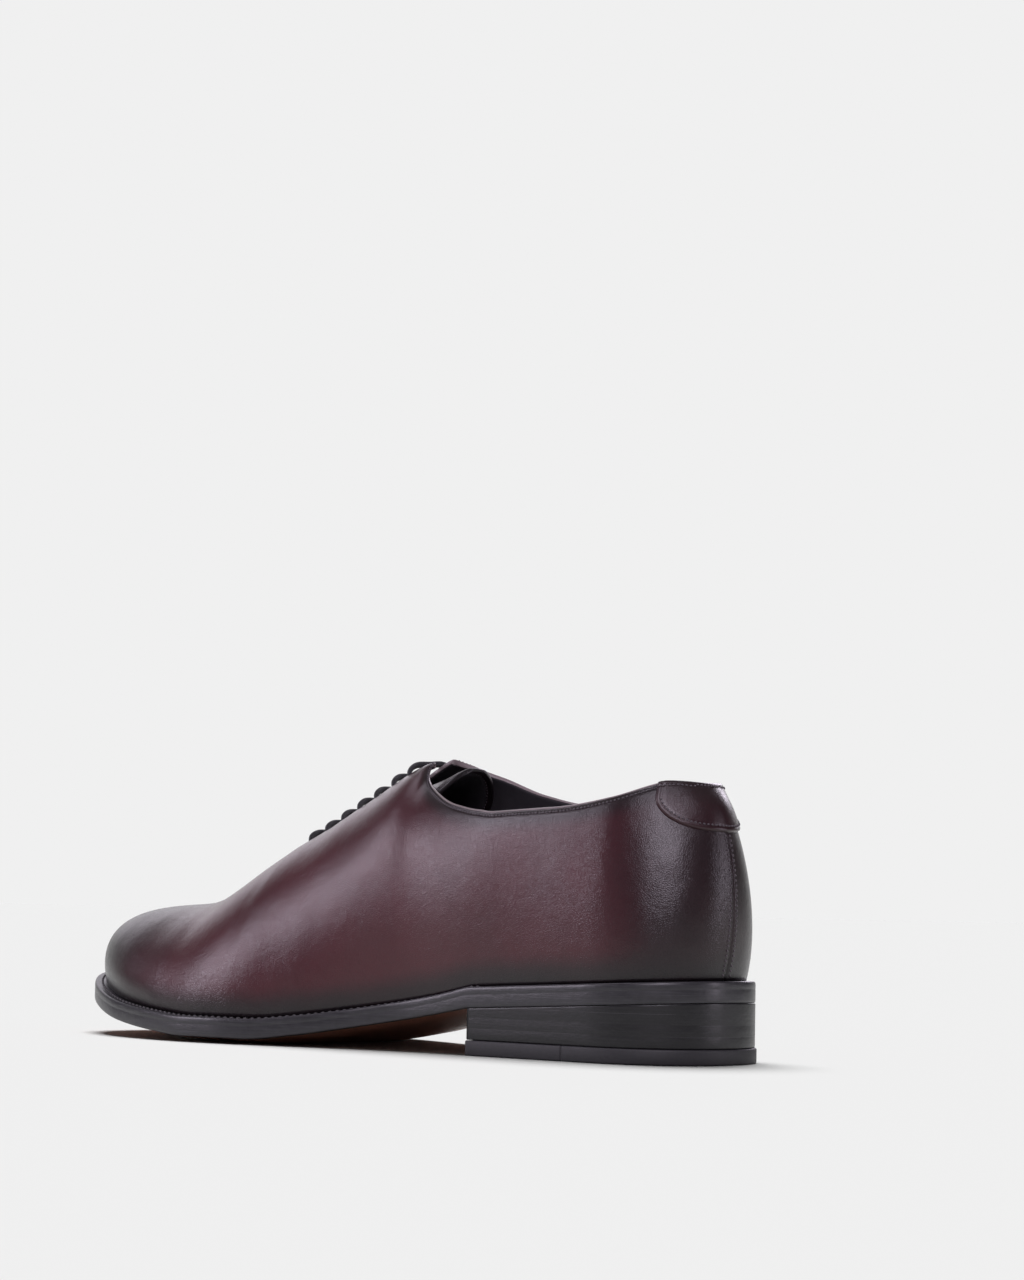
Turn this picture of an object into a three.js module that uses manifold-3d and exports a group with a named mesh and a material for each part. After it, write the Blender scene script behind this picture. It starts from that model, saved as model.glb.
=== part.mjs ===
// Oxford shoe whose upper is cut from one piece of leather: left foot, empty, standing on its sole.
// Millimetres, +Z up. The toe points to -Y, the heel to +Y, and the outer side of the foot to +X.
// The origin is on the floor, under the middle of the sole's outline.
import * as THREE from 'three';
import { mergeVertices } from 'three/addons/utils/BufferGeometryUtils.js';
import Module from 'manifold-3d';

const wasm = await Module();
wasm.setup();

// Driving dimensions of the sole
const LENGTH = 307;
const BALL_WIDTH = 107;
const TOE_SPRING = 16.6;
const OUTSOLE_EDGE = 4.4;
const WELT_THICKNESS = 2.5;
const WELT_WIDTH = 13;
const WELT_SHOWS_BALL = 5.2;
const WELT_SHOWS_TOE = 4.6;
const WELT_SHOWS_HEEL = 3.2;

// Driving dimensions of the heel
const HEEL_LENGTH = 90;
const HEEL_HEIGHT_BACK = 20.7;
const HEEL_HEIGHT_BREAST = 16.3;
const TOP_PIECE_THICKNESS = 5.3;
const TOP_PIECE_PROUD = 0.6;
const RUBBER_TIP_LENGTH = 46;
const LIFT_THICKNESS = 3.6;

// Driving dimensions of the upper, its heights taken above the welt
const BACK_HEIGHT = 66.6;
const ANKLE_HEIGHT = 60.6;
const INSTEP_HEIGHT = 87.6;
const TOE_BOX_HEIGHT = 33.7;
const WALL = 2.2;
const LASTING_MARGIN = 9;
const THROAT_GAP = 8;
const PATCH_THICKNESS = 1.1;
const PATCH_DROP = 15;
const PATCH_REACH = 20;
const EYELET_PAIRS = 7;
const EYELET_BORE = 4.6;
const EYELET_SETBACK = 9;

// Driving dimensions of the insole, tongue and laces
const INSOLE_THICKNESS = 3;
const TONGUE_THICKNESS = 2;
const TONGUE_DEPTH = 7.2;
const LACE_DIAMETER = 2.6;

// Clearance that every pair of neighbouring pieces keeps
const GAP = 0.3;

const { degToRad, clamp } = THREE.MathUtils;

// A table whose columns are named once: each row becomes an object
function table(names, rows) {
  const keys = names.split(' ');
  return rows.map((row) => Object.fromEntries(row.map((value, i) => [keys[i], value])));
}

// Reads one named column of a table smoothly and without overshoot; level ends have no slope there.
function column(rows, name, levelEnds = false) {
  const x = rows.map((row) => row.at);
  const y = rows.map((row) => row[name]);
  const last = rows.length - 1;
  const chord = y.slice(1).map((value, i) => (value - y[i]) / (x[i + 1] - x[i]));
  const slope = y.map((_, i) => {
    if (i === 0 || i === last) {
      return levelEnds ? 0 : chord[Math.min(i, last - 1)];
    }
    const [before, after] = [chord[i - 1], chord[i]];
    return before * after > 0 ? (2 * before * after) / (before + after) : 0;
  });
  return (at) => {
    const t = clamp(at, x[0], x[last]);
    const i = clamp(x.findIndex((value) => value >= t) - 1, 0, last - 1);
    const h = x[i + 1] - x[i];
    const s = (t - x[i]) / h;
    const ease = s * s * (3 - 2 * s);
    const start = s * (1 - s) * (1 - s) * h * slope[i];
    const end = s * s * (s - 1) * h * slope[i + 1];
    return y[i] + ease * (y[i + 1] - y[i]) + start + end;
  };
}

// Sole in plan: full width and sideways shift of its middle, as shares of the ball width
const SOLE_PLAN = table('at width middle', [
  [0.0, 0.62, 0.0],
  [0.125, 0.622, 0.0],
  [0.295, 0.608, 0.003],
  [0.375, 0.585, 0.01],
  [0.46, 0.65, 0.01],
  [0.56, 0.83, 0.003],
  [0.65, 0.97, -0.006],
  [0.705, 1.0, -0.012],
  [0.77, 0.965, -0.017],
  [0.84, 0.875, -0.02],
  [0.92, 0.77, -0.02],
  [1.0, 0.69, -0.02],
]);
const HEEL_ROUND = { share: 0.125, power: 2.35 };
const TOE_ROUND = { share: 0.18, power: 2.2 };

// Sole from the side: the underside as shares of the breast height and of the toe spring, how far the
// edge lifts above the middle in millimetres, and the outsole's edge as a share of its full thickness
const SOLE_SIDE = table('at arch spring crown edge', [
  [0.295, 1.0, 0.0, 0.0, 1.0],
  [0.35, 0.8, 0.0, 0.3, 0.86],
  [0.41, 0.6, 0.0, 0.6, 0.82],
  [0.475, 0.38, 0.0, 1.0, 0.84],
  [0.54, 0.16, 0.0, 1.5, 0.92],
  [0.61, 0.0, 0.0, 2.0, 1.0],
  [0.7, 0.0, 0.0, 2.1, 1.0],
  [0.75, 0.0, 0.07, 2.0, 0.97],
  [0.84, 0.0, 0.28, 1.4, 0.92],
  [0.92, 0.0, 0.6, 0.8, 0.86],
  [1.0, 0.0, 1.0, 0.5, 0.82],
]);

const widthAt = column(SOLE_PLAN, 'width');
const middleAt = column(SOLE_PLAN, 'middle');
const archAt = column(SOLE_SIDE, 'arch');
const springAt = column(SOLE_SIDE, 'spring');
const crownAt = column(SOLE_SIDE, 'crown');
const edgeShareAt = column(SOLE_SIDE, 'edge');

function roundEnd(depth, { share, power }) {
  const x = clamp(1 - depth / share, 0, 1);
  return (1 - x ** power) ** (1 / power);
}

const halfWidth = (at) =>
  0.5 * BALL_WIDTH * widthAt(at) * roundEnd(at, HEEL_ROUND) * roundEnd(1 - at, TOE_ROUND);
const middle = (at) => BALL_WIDTH * middleAt(at);

// Heights along the shoe, from the floor: underside in the middle, outsole's top, and the welt's top
const BREAST_AT = HEEL_LENGTH / LENGTH;
function underside(at) {
  if (at < BREAST_AT) {
    return HEEL_HEIGHT_BACK + ((HEEL_HEIGHT_BREAST - HEEL_HEIGHT_BACK) * at) / BREAST_AT;
  }
  return HEEL_HEIGHT_BREAST * archAt(at) + TOE_SPRING * springAt(at);
}
const outsoleTop = (at) => underside(at) + crownAt(at) + OUTSOLE_EDGE * edgeShareAt(at);
const weltTop = (at) => outsoleTop(at) + GAP + WELT_THICKNESS;

// Turns a place given by millimetres from the heel, to the outer side and above the floor into the frame
const place = (along, across, up) => new THREE.Vector3(across, LENGTH / 2 - along, up);

// Walk along one side of the sole's edge, from the middle of the heel (0) to the tip of the toe (1)
const EDGE_SAMPLES = 600;
function edgeWalk(side) {
  const points = [];
  for (let i = 0; i <= EDGE_SAMPLES; i += 1) {
    const at = 0.5 - 0.5 * Math.cos((Math.PI * i) / EDGE_SAMPLES);
    points.push({ along: at * LENGTH, across: middle(at) + side * halfWidth(at), walked: 0 });
  }
  for (let i = 1; i <= EDGE_SAMPLES; i += 1) {
    const [a, b] = [points[i - 1], points[i]];
    b.walked = a.walked + Math.hypot(b.along - a.along, b.across - a.across);
  }
  return points;
}
const EDGE = { 1: edgeWalk(1), '-1': edgeWalk(-1) };

// A point of the sole's edge moved inwards by a distance
function edgePoint(side, share, inset) {
  const points = EDGE[side];
  const goal = share * points[EDGE_SAMPLES].walked;
  const found = points.findIndex((point) => point.walked >= goal);
  const i = clamp(found, 1, EDGE_SAMPLES);
  const [a, b] = [points[i - 1], points[i]];
  const k = (goal - a.walked) / (b.walked - a.walked);
  const [before, after] = [points[Math.max(i - 6, 0)], points[Math.min(i + 5, EDGE_SAMPLES)]];
  let out = { along: side * (before.across - after.across), across: side * (after.along - before.along) };
  if (share === 0 || share === 1) {
    out = { along: share === 0 ? -1 : 1, across: 0 };
  }
  const size = Math.hypot(out.along, out.across);
  out = { along: out.along / size, across: out.across / size };
  const along = a.along + k * (b.along - a.along) - inset * out.along;
  const across = a.across + k * (b.across - a.across) - inset * out.across;
  return { along, across, out };
}

// Share of the walk along one side at which the edge is a distance from the heel
function shareAt(side, along) {
  const points = EDGE[side];
  const i = points.findIndex((point) => point.along >= along);
  return points[i].walked / points[EDGE_SAMPLES].walked;
}

// A sheet of points joined in rows; points that coincide are one point
class Sheet {
  constructor() {
    this.points = [];
    this.faces = [];
    this.known = new Map();
  }

  add(point) {
    const key = [point.x, point.y, point.z].map((value) => Math.round(value * 1e3)).join(' ');
    if (!this.known.has(key)) {
      this.known.set(key, this.points.length);
      this.points.push(point);
    }
    return this.known.get(key);
  }

  triangle(a, b, c) {
    if (a !== b && b !== c && c !== a) {
      this.faces.push([a, b, c]);
    }
  }

  weave(rows, closed = false) {
    const grid = rows.map((row) => row.map((point) => this.add(point)));
    const count = closed ? rows.length : rows.length - 1;
    for (let i = 0; i < count; i += 1) {
      const [here, next] = [grid[i], grid[(i + 1) % rows.length]];
      for (let j = 0; j < here.length - 1; j += 1) {
        this.triangle(here[j], next[j], next[j + 1]);
        this.triangle(here[j], next[j + 1], here[j + 1]);
      }
    }
    return grid;
  }

  normals() {
    const sums = this.points.map(() => new THREE.Vector3());
    for (const [a, b, c] of this.faces) {
      const ab = this.points[b].clone().sub(this.points[a]);
      const ac = this.points[c].clone().sub(this.points[a]);
      const face = ab.cross(ac);
      [a, b, c].forEach((corner) => sums[corner].add(face));
    }
    return sums.map((sum) => sum.normalize());
  }

  // The body between two copies of the sheet, moved along its normals, or along given ways at corners
  shell(inner, outer, corners = new Map()) {
    const normals = this.normals();
    const moved = (distance) =>
      this.points.map((point, i) => point.clone().addScaledVector(corners.get(i) ?? normals[i], distance));
    const count = this.points.length;
    const body = new Sheet();
    body.points = [...moved(inner), ...moved(outer)];
    const used = new Set(this.faces.flatMap(([a, b, c]) => [`${a} ${b}`, `${b} ${c}`, `${c} ${a}`]));
    for (const [a, b, c] of this.faces) {
      body.faces.push([a + count, b + count, c + count], [a, c, b]);
      for (const [from, to] of [[a, b], [b, c], [c, a]]) {
        if (!used.has(`${to} ${from}`)) {
          body.faces.push([from, to, to + count], [from, to + count, from + count]);
        }
      }
    }
    return body.solid();
  }

  // The closed body that the faces bound, turned so that they look out
  solid() {
    const volume = this.faces.reduce((sum, corners) => {
      const [a, b, c] = corners.map((corner) => this.points[corner]);
      return sum + a.dot(b.clone().cross(c));
    }, 0);
    const faces = volume > 0 ? this.faces : this.faces.map(([a, b, c]) => [a, c, b]);
    const vertProperties = new Float32Array(this.points.flatMap((p) => [p.x, p.y, p.z]));
    const triVerts = new Uint32Array(faces.flat());
    return new wasm.Manifold(new wasm.Mesh({ numProp: 3, vertProperties, triVerts }));
  }
}

// Between three.js geometry and solids that can be cut and joined
function solidOf(geometry) {
  const bare = geometry.clone();
  bare.deleteAttribute('normal');
  bare.deleteAttribute('uv');
  const merged = mergeVertices(bare, 1e-4);
  const vertProperties = new Float32Array(merged.attributes.position.array);
  const triVerts = new Uint32Array(merged.index.array);
  return new wasm.Manifold(new wasm.Mesh({ numProp: 3, vertProperties, triVerts }));
}

function geometryOf(solid) {
  const mesh = solid.getMesh();
  const geometry = new THREE.BufferGeometry();
  geometry.setAttribute('position', new THREE.Float32BufferAttribute(mesh.vertProperties, mesh.numProp));
  geometry.setIndex([...mesh.triVerts]);
  geometry.computeVertexNormals();
  return geometry;
}

// A body between rows of lower and upper points, walled all round
function slabBetween(lower, upper) {
  const sheet = new Sheet();
  const rows = lower.map((row, i) => [...row, ...[...upper[i]].reverse(), row[0]]);
  sheet.weave(rows);
  for (const end of [0, rows.length - 1]) {
    const [l, u] = [lower[end], upper[end]].map((row) => row.map((point) => sheet.add(point)));
    for (let j = 0; j < l.length - 1; j += 1) {
      const turn = end === 0;
      sheet.triangle(...(turn ? [l[j], l[j + 1], u[j + 1]] : [l[j], u[j + 1], l[j + 1]]));
      sheet.triangle(...(turn ? [l[j], u[j + 1], u[j]] : [l[j], u[j], u[j + 1]]));
    }
  }
  return sheet.solid();
}

// A slab over a stretch of the sole's plan; low and high give heights from the place along and across
const SLAB_ACROSS = [-1, -0.8, -0.5, 0, 0.5, 0.8, 1];
function soleSlab({ from = null, to = null, steps, inset = 0, low, high, across = SLAB_ACROSS }) {
  const insetAt = typeof inset === 'function' ? inset : () => inset;
  const rows = (height) =>
    Array.from({ length: steps + 1 }, (_, i) => {
      const [inner, outer] = [-1, 1].map((side) => {
        const start = from === null ? 0 : shareAt(side, from);
        const stop = to === null ? 1 : shareAt(side, to);
        const share = start + ((stop - start) * i) / steps;
        const point = edgePoint(side, share, insetAt(share));
        if (i === 0 && from !== null) {
          point.along = from;
        }
        if (i === steps && to !== null) {
          point.along = to;
        }
        return point;
      });
      return across.map((w) => {
        const k = (w + 1) / 2;
        const along = inner.along + k * (outer.along - inner.along);
        return place(along, inner.across + k * (outer.across - inner.across), height(along / LENGTH, w));
      });
    });
  return slabBetween(rows(low), rows(high));
}

// A band just inside the sole's edge, through a list of stops of one side and its share of the walk
function edgeBand({ stops, width, low, high }) {
  const rows = (height) =>
    stops.map(([side, share]) =>
      [0, width].map((inset) => {
        const { along, across } = edgePoint(side, share, inset);
        return place(along, across, height(along / LENGTH));
      }),
    );
  return slabBetween(rows(low), rows(high));
}

// Sole pieces
const FLAT_SHARE = 0.5;
const CROWN_POWER = 1.6;
function outsoleUnder(at, w) {
  const lift = clamp((Math.abs(w) - FLAT_SHARE) / (1 - FLAT_SHARE), 0, 1);
  return underside(at) + crownAt(at) * lift ** CROWN_POWER;
}

function makeOutsole() {
  return soleSlab({ steps: 44, low: outsoleUnder, high: outsoleTop });
}

// A band that runs from a distance from the heel on the outer side, round one end, to the same on the inner
function bandRound(distance, end, steps) {
  const walk = (side) => {
    const start = shareAt(side, distance);
    return Array.from({ length: steps + 1 }, (_, i) => [side, start + ((end - start) * i) / steps]);
  };
  const stops = [...walk(1), ...walk(-1).reverse().slice(1)];
  return edgeBand({ stops, width: WELT_WIDTH, low: (at) => outsoleTop(at) + GAP, high: weltTop });
}

// The rand ends a little short, because its ends are cut square to a curved edge
const RAND_SHORT = 0.6;
const makeWelt = () => bandRound(HEEL_LENGTH + GAP / 2, 1, 26);
const makeHeelRand = () => bandRound(HEEL_LENGTH - GAP / 2 - RAND_SHORT, 0, 14);

// Heel: a level top piece in leather with a rubber tip, level lifts, and a wedge under the outsole
const HEEL_STEPS = 18;
function heelLayer(low, high, inset = 0) {
  return soleSlab({ to: HEEL_LENGTH, steps: HEEL_STEPS, inset, low: () => low, high, across: [-1, 0, 1] });
}

function makeHeelLifts() {
  const first = TOP_PIECE_THICKNESS + GAP;
  const second = first + LIFT_THICKNESS + GAP;
  const third = second + LIFT_THICKNESS + GAP;
  return {
    heel_lift_1: heelLayer(first, () => first + LIFT_THICKNESS),
    heel_lift_2: heelLayer(second, () => second + LIFT_THICKNESS),
    heel_wedge: heelLayer(third, (at) => underside(at) - GAP),
  };
}

function makeTopPiece() {
  const high = () => TOP_PIECE_THICKNESS;
  const common = { inset: -TOP_PIECE_PROUD, low: () => 0, high, across: [-1, 0, 1] };
  return {
    heel_rubber_tip: soleSlab({ ...common, to: RUBBER_TIP_LENGTH, steps: 14 }),
    heel_top_piece: soleSlab({ ...common, from: RUBBER_TIP_LENGTH + GAP, to: HEEL_LENGTH, steps: 4 }),
  };
}

// Upper: ribs that rise from the welt to the topline, the facings or the ridge of the vamp. A rib is a
// Bezier curve. Its foot is set by how far along the edge it stands, and its head by the columns:
// along and across are shares of the length and of the ball width, high is above the welt, inner is
// what the inner side of the foot adds to that, lean is how far the head tips off level, fall is the
// slope of the ridge there, flare is how far the foot tips outwards, and the arms are shares of the rib
const RIBS = table('at along across high inner lean fall flare footArm headArm cuts', [
  [0.0, 0.033, 0.0, BACK_HEIGHT, 0, 60, 0, 17, 0.28, 0.36, 3],
  [0.1, 0.056, 0.13, 1.012 * BACK_HEIGHT, 0, 66, 0, 12, 0.27, 0.32, 2],
  [0.17, 0.108, 0.228, 0.945 * BACK_HEIGHT, 1, 72, 0, 11, 0.26, 0.3, 2],
  [0.24, 0.187, 0.252, ANKLE_HEIGHT, 2, 76, 0, 10, 0.26, 0.3, 2],
  [0.31, 0.275, 0.26, ANKLE_HEIGHT, 3.5, 72, 4, 10, 0.28, 0.3, 2],
  [0.36, 0.345, 0.228, 1.105 * ANKLE_HEIGHT, 5, 62, 12, 10, 0.3, 0.3, 2],
  [0.395, 0.39, 0.178, 0.845 * INSTEP_HEIGHT, 6, 48, 20, 9, 0.31, 0.31, 1],
  [0.425, 0.422, 0.118, 0.92 * INSTEP_HEIGHT, 5, 30, 24, 9, 0.32, 0.32, 1],
  [0.44, 0.433, 0.077, 0.968 * INSTEP_HEIGHT, 3, 18, 25, 9, 0.32, 0.33, 1],
  [0.455, 0.441, 0.5 * THROAT_GAP / BALL_WIDTH, INSTEP_HEIGHT, 1.5, 10, 25, 9, 0.32, 0.33, 3],
  [0.53, 0.534, 0.48 * THROAT_GAP / BALL_WIDTH, 0.903 * INSTEP_HEIGHT, 0, 8, 25, 8, 0.31, 0.34, 3],
  [0.615, 0.639, 0.42 * THROAT_GAP / BALL_WIDTH, 0.752 * INSTEP_HEIGHT, 0, 5, 26, 8, 0.3, 0.36, 1],
  [0.635, 0.662, 0.0, 0.712 * INSTEP_HEIGHT, 0, 0, 29, 8, 0.3, 0.38, 1],
  [0.68, 0.715, 0.0, 0.605 * INSTEP_HEIGHT, 0, 0, 30, 9, 0.3, 0.4, 1],
  [0.72, 0.761, 0.0, 0.51 * INSTEP_HEIGHT, 0, 0, 23, 10, 0.31, 0.43, 1],
  [0.76, 0.797, 0.0, 1.2 * TOE_BOX_HEIGHT, 0, 0, 14, 12, 0.33, 0.47, 1],
  [0.81, 0.836, 0.0, 1.115 * TOE_BOX_HEIGHT, 0, 0, 6, 14, 0.37, 0.52, 2],
  [0.87, 0.866, 0.0, 1.06 * TOE_BOX_HEIGHT, 0, 0, 4, 15, 0.41, 0.56, 2],
  [0.93, 0.882, 0.0, 1.02 * TOE_BOX_HEIGHT, 0, 0, 4, 15, 0.43, 0.59, 2],
  [1.0, 0.888, 0.0, TOE_BOX_HEIGHT, 0, 0, 5, 15, 0.44, 0.6, 0],
]);
const RIDGE_SHIFT = table('at share', [
  [0.0, 0.0],
  [0.4, -0.005],
  [0.55, -0.025],
  [0.75, -0.03],
  [1.0, -0.02],
]);
const ridgeShiftAt = column(RIDGE_SHIFT, 'share');

const ribColumns = Object.fromEntries(
  ['along', 'high', 'inner', 'lean', 'fall', 'flare', 'footArm', 'headArm'].map((name) => [
    name,
    column(RIBS, name, true),
  ]),
);
ribColumns.across = column(RIBS, 'across');

const WELT_SHOWS = table('at shows', [
  [0.0, WELT_SHOWS_HEEL],
  [0.4, WELT_SHOWS_HEEL],
  [0.62, WELT_SHOWS_BALL],
  [0.9, WELT_SHOWS_TOE],
  [1.0, WELT_SHOWS_TOE],
]);
const weltShowsAt = column(WELT_SHOWS, 'shows');

// The four points of a rib's curve, on the outside of the upper
function rib(side, at) {
  const row = Object.fromEntries(Object.entries(ribColumns).map(([name, read]) => [name, read(at)]));
  const { along, across, out } = edgePoint(side, at, weltShowsAt(at));
  const foot = place(along, across, weltTop(along / LENGTH) + GAP);
  const headAcross = BALL_WIDTH * (side * row.across + ridgeShiftAt(row.along));
  const lift = side < 0 ? row.inner : 0;
  const head = place(row.along * LENGTH, headAcross, weltTop(row.along) + GAP + row.high + lift);
  const reach = head.distanceTo(foot);
  const [flare, lean, fall] = [row.flare, row.lean, row.fall].map(degToRad);
  const up = new THREE.Vector3(0, 0, 1);
  const outwards = place(out.along, out.across, 0).sub(place(0, 0, 0));
  const footWay = outwards.clone().multiplyScalar(Math.sin(flare)).addScaledVector(up, Math.cos(flare));
  const ridgeWay = new THREE.Vector3(0, -Math.cos(fall), -Math.sin(fall));
  const headWay = new THREE.Vector3(outwards.x, 0, 0)
    .addScaledVector(ridgeWay, out.along)
    .multiplyScalar(Math.cos(lean))
    .addScaledVector(up, -Math.sin(lean))
    .normalize();
  return {
    out: outwards,
    curve: new THREE.CubicBezierCurve3(
      foot,
      foot.clone().addScaledVector(footWay, row.footArm * reach),
      head.clone().addScaledVector(headWay, row.headArm * reach),
      head,
    ),
  };
}

// Ribs stand at the rows of the table and between them, and one stands at the breast of the heel
const RIB_STEPS = 10;
function ribStops(side) {
  const even = RIBS.flatMap((row, i) =>
    Array.from({ length: row.cuts }, (_, k) => row.at + ((RIBS[i + 1].at - row.at) * k) / row.cuts),
  );
  const breast = shareAt(side, HEEL_LENGTH);
  const near = even.reduce((best, at) => (Math.abs(at - breast) < Math.abs(best - breast) ? at : best));
  return even.map((at) => (at === near ? breast : at));
}

// The outer face of the upper with its lasting margin, which is turned in under the foot
function upperSheet() {
  const row = (side, at) => {
    const { out, curve } = rib(side, at);
    const points = curve.getPoints(RIB_STEPS);
    const margin = points[0].clone().addScaledVector(out, -LASTING_MARGIN);
    margin.z = weltTop(0.5 - margin.y / LENGTH) + GAP;
    const corner = out.clone().sub(new THREE.Vector3(0, 0, 1));
    return { corner, points: [margin, ...points] };
  };
  const inner = ribStops(-1).map((at) => row(-1, at));
  const outer = ribStops(1).slice(1).reverse().map((at) => row(1, at));
  const rows = [...inner, row(-1, 1), ...outer];
  const sheet = new Sheet();
  const grid = sheet.weave(rows.map(({ points }) => points), true);
  const corners = new Map(grid.map((line, i) => [line[1], rows[i].corner]));
  return { sheet, corners };
}

// A point on the outside of the upper, a distance down a rib from its head, and the way out there
function onUpper(side, at, distance) {
  const step = 0.004;
  const [before, here, after] = [at - step, at, at + step].map((share) => {
    const { curve } = rib(side, share);
    return curve.getPointAt(1 - distance / curve.getLength());
  });
  const { curve } = rib(side, at);
  const downRib = curve.getTangentAt(1 - distance / curve.getLength()).negate();
  const normal = after.sub(before).cross(downRib).multiplyScalar(side).normalize();
  return { point: here, normal };
}

// Eyelets stand in two rows behind the edges of the throat
const EYELET_TOP_AT = 0.478;
const EYELET_LOW_AT = 0.61;
const eyeletPairs = Array.from({ length: EYELET_PAIRS }, (_, i) => {
  const at = EYELET_TOP_AT + ((EYELET_LOW_AT - EYELET_TOP_AT) * i) / (EYELET_PAIRS - 1);
  return [1, -1].map((side) => ({ side, at, ...onUpper(side, at, EYELET_SETBACK) }));
});

function makeUpper() {
  const { sheet, corners } = upperSheet();
  const drills = eyeletPairs.flat().map(({ point, normal }) => {
    const drill = new THREE.CylinderGeometry(EYELET_BORE / 2, EYELET_BORE / 2, 4 * WALL, 12);
    const turn = new THREE.Quaternion().setFromUnitVectors(new THREE.Vector3(0, 1, 0), normal);
    drill.applyQuaternion(turn).translate(point.x, point.y, point.z);
    return solidOf(drill);
  });
  return sheet.shell(-WALL, 0, corners).subtract(wasm.Manifold.union(drills));
}

// Tab at the back of the collar: the layer between two larger forms of the upper, cut to a half moon
const PATCH_EDGE_SHARE = 0.985;
function makeHeelPatch() {
  const { sheet } = upperSheet();
  const layer = sheet.shell(GAP, GAP + PATCH_THICKNESS);
  const edgeHeight = weltTop(PATCH_REACH / LENGTH) + PATCH_EDGE_SHARE * BACK_HEIGHT;
  const behind = -PATCH_REACH;
  const above = edgeHeight + BACK_HEIGHT;
  const outline = new THREE.Shape();
  outline.moveTo(behind, edgeHeight - PATCH_DROP);
  outline.lineTo(0, edgeHeight - PATCH_DROP);
  outline.absellipse(0, edgeHeight, PATCH_REACH, PATCH_DROP, -Math.PI / 2, 0, false);
  outline.lineTo(PATCH_REACH, above);
  outline.lineTo(behind, above);
  const depth = 2 * BALL_WIDTH;
  const moon = new THREE.ExtrudeGeometry(outline, { depth, bevelEnabled: false, curveSegments: 16 });
  const along = place(1, 0, 0).sub(place(0, 0, 0));
  const up = new THREE.Vector3(0, 0, 1);
  moon.translate(0, 0, -depth / 2);
  moon.applyMatrix4(new THREE.Matrix4().makeBasis(along, up, along.clone().cross(up)));
  const origin = place(0, 0, 0);
  moon.translate(origin.x, origin.y, origin.z);
  return layer.intersect(solidOf(moon));
}

// Insole on the lasting margin, with its filled middle between the margins
function makeInsole() {
  const marginTop = (at) => weltTop(at) + GAP + WALL;
  const rim = (share) => weltShowsAt(share) + WALL + 4 * GAP;
  const core = (share) => Math.max(weltShowsAt(share) + LASTING_MARGIN, WELT_WIDTH) + 4 * GAP;
  const low = (at) => marginTop(at) + 2 * GAP;
  const steps = 32;
  const cover = soleSlab({ steps, inset: rim, low, high: (at) => low(at) + INSOLE_THICKNESS });
  const filled = soleSlab({
    steps,
    inset: core,
    low: (at) => outsoleTop(at) + GAP,
    high: (at) => low(at) + INSOLE_THICKNESS / 2,
  });
  return cover.add(filled);
}

// Tongue: arched sections under the facings; at and half are shares of the length and of the ball width,
// droop is how far the sides hang below the middle as a share of the instep height, and sink is how far
// the middle lies below the line of the ridge. Past the facings that line runs on, less steeply, and the
// end is rounded.
const TONGUE = table('at half droop sink', [
  [0.385, 0.207, 0.173, -1.3],
  [0.441, 0.19, 0.173, 0.0],
  [0.534, 0.185, 0.133, 0.0],
  [0.639, 0.17, 0.09, 0.0],
  [0.71, 0.14, 0.05, 0.0],
]);
const TONGUE_TOP_ROUND = { share: 0.07, power: 2.2 };
const TONGUE_TOP_CUT = 0.0004;
const TONGUE_TOP_SLOPE = 0.55;
const TONGUE_STEPS = 16;
const TONGUE_ACROSS = [-1, -0.75, -0.5, -0.25, 0, 0.25, 0.5, 0.75, 1];

function makeTongue() {
  const corner = RIBS.find((row) => row.high === INSTEP_HEIGHT);
  const ridgeRows = RIBS.filter((row) => row.at >= corner.at).map((row) => ({
    at: row.along,
    height: weltTop(row.along) + GAP + row.high,
  }));
  const ridgeHeight = column(ridgeRows, 'height');
  const step = 0.02;
  const cornerSlope = (ridgeHeight(corner.along) - ridgeHeight(corner.along + step)) / step;
  const read = Object.fromEntries(['half', 'droop', 'sink'].map((name) => [name, column(TONGUE, name)]));
  const [top, low] = [TONGUE[0].at, TONGUE[TONGUE.length - 1].at];
  const rows = Array.from({ length: TONGUE_STEPS + 1 }, (_, i) => {
    const at = top + (low - top) * (1 - Math.cos((Math.PI * i) / (2 * TONGUE_STEPS)));
    const past = Math.max(corner.along - at, 0);
    const ridge = ridgeHeight(at) + TONGUE_TOP_SLOPE * cornerSlope * past;
    const crown = ridge - TONGUE_DEPTH - read.sink(at);
    const round = roundEnd(at - top + TONGUE_TOP_CUT, TONGUE_TOP_ROUND);
    return TONGUE_ACROSS.map((w) => {
      const aside = BALL_WIDTH * (ridgeShiftAt(at) + w * round * read.half(at));
      const fall = INSTEP_HEIGHT * read.droop(at) * (w * round) ** 2;
      return place(at * LENGTH, aside, crown - fall);
    });
  });
  const sheet = new Sheet();
  sheet.weave(rows);
  const facesUp = sheet.normals()[Math.floor(sheet.points.length / 2)].z > 0;
  return facesUp ? sheet.shell(-TONGUE_THICKNESS, 0) : sheet.shell(0, TONGUE_THICKNESS);
}

// Laces: straight bars from eyelet to eyelet, linked under the facings on alternate sides
const LACE_RADIUS = LACE_DIAMETER / 2;
const laceSection = new THREE.Shape().absarc(0, 0, LACE_RADIUS, 0, 2 * Math.PI, false);
function laceTube(curve, steps) {
  const options = { extrudePath: curve, steps, bevelEnabled: false, curveSegments: 3 };
  return solidOf(new THREE.ExtrudeGeometry(laceSection, options));
}

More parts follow.
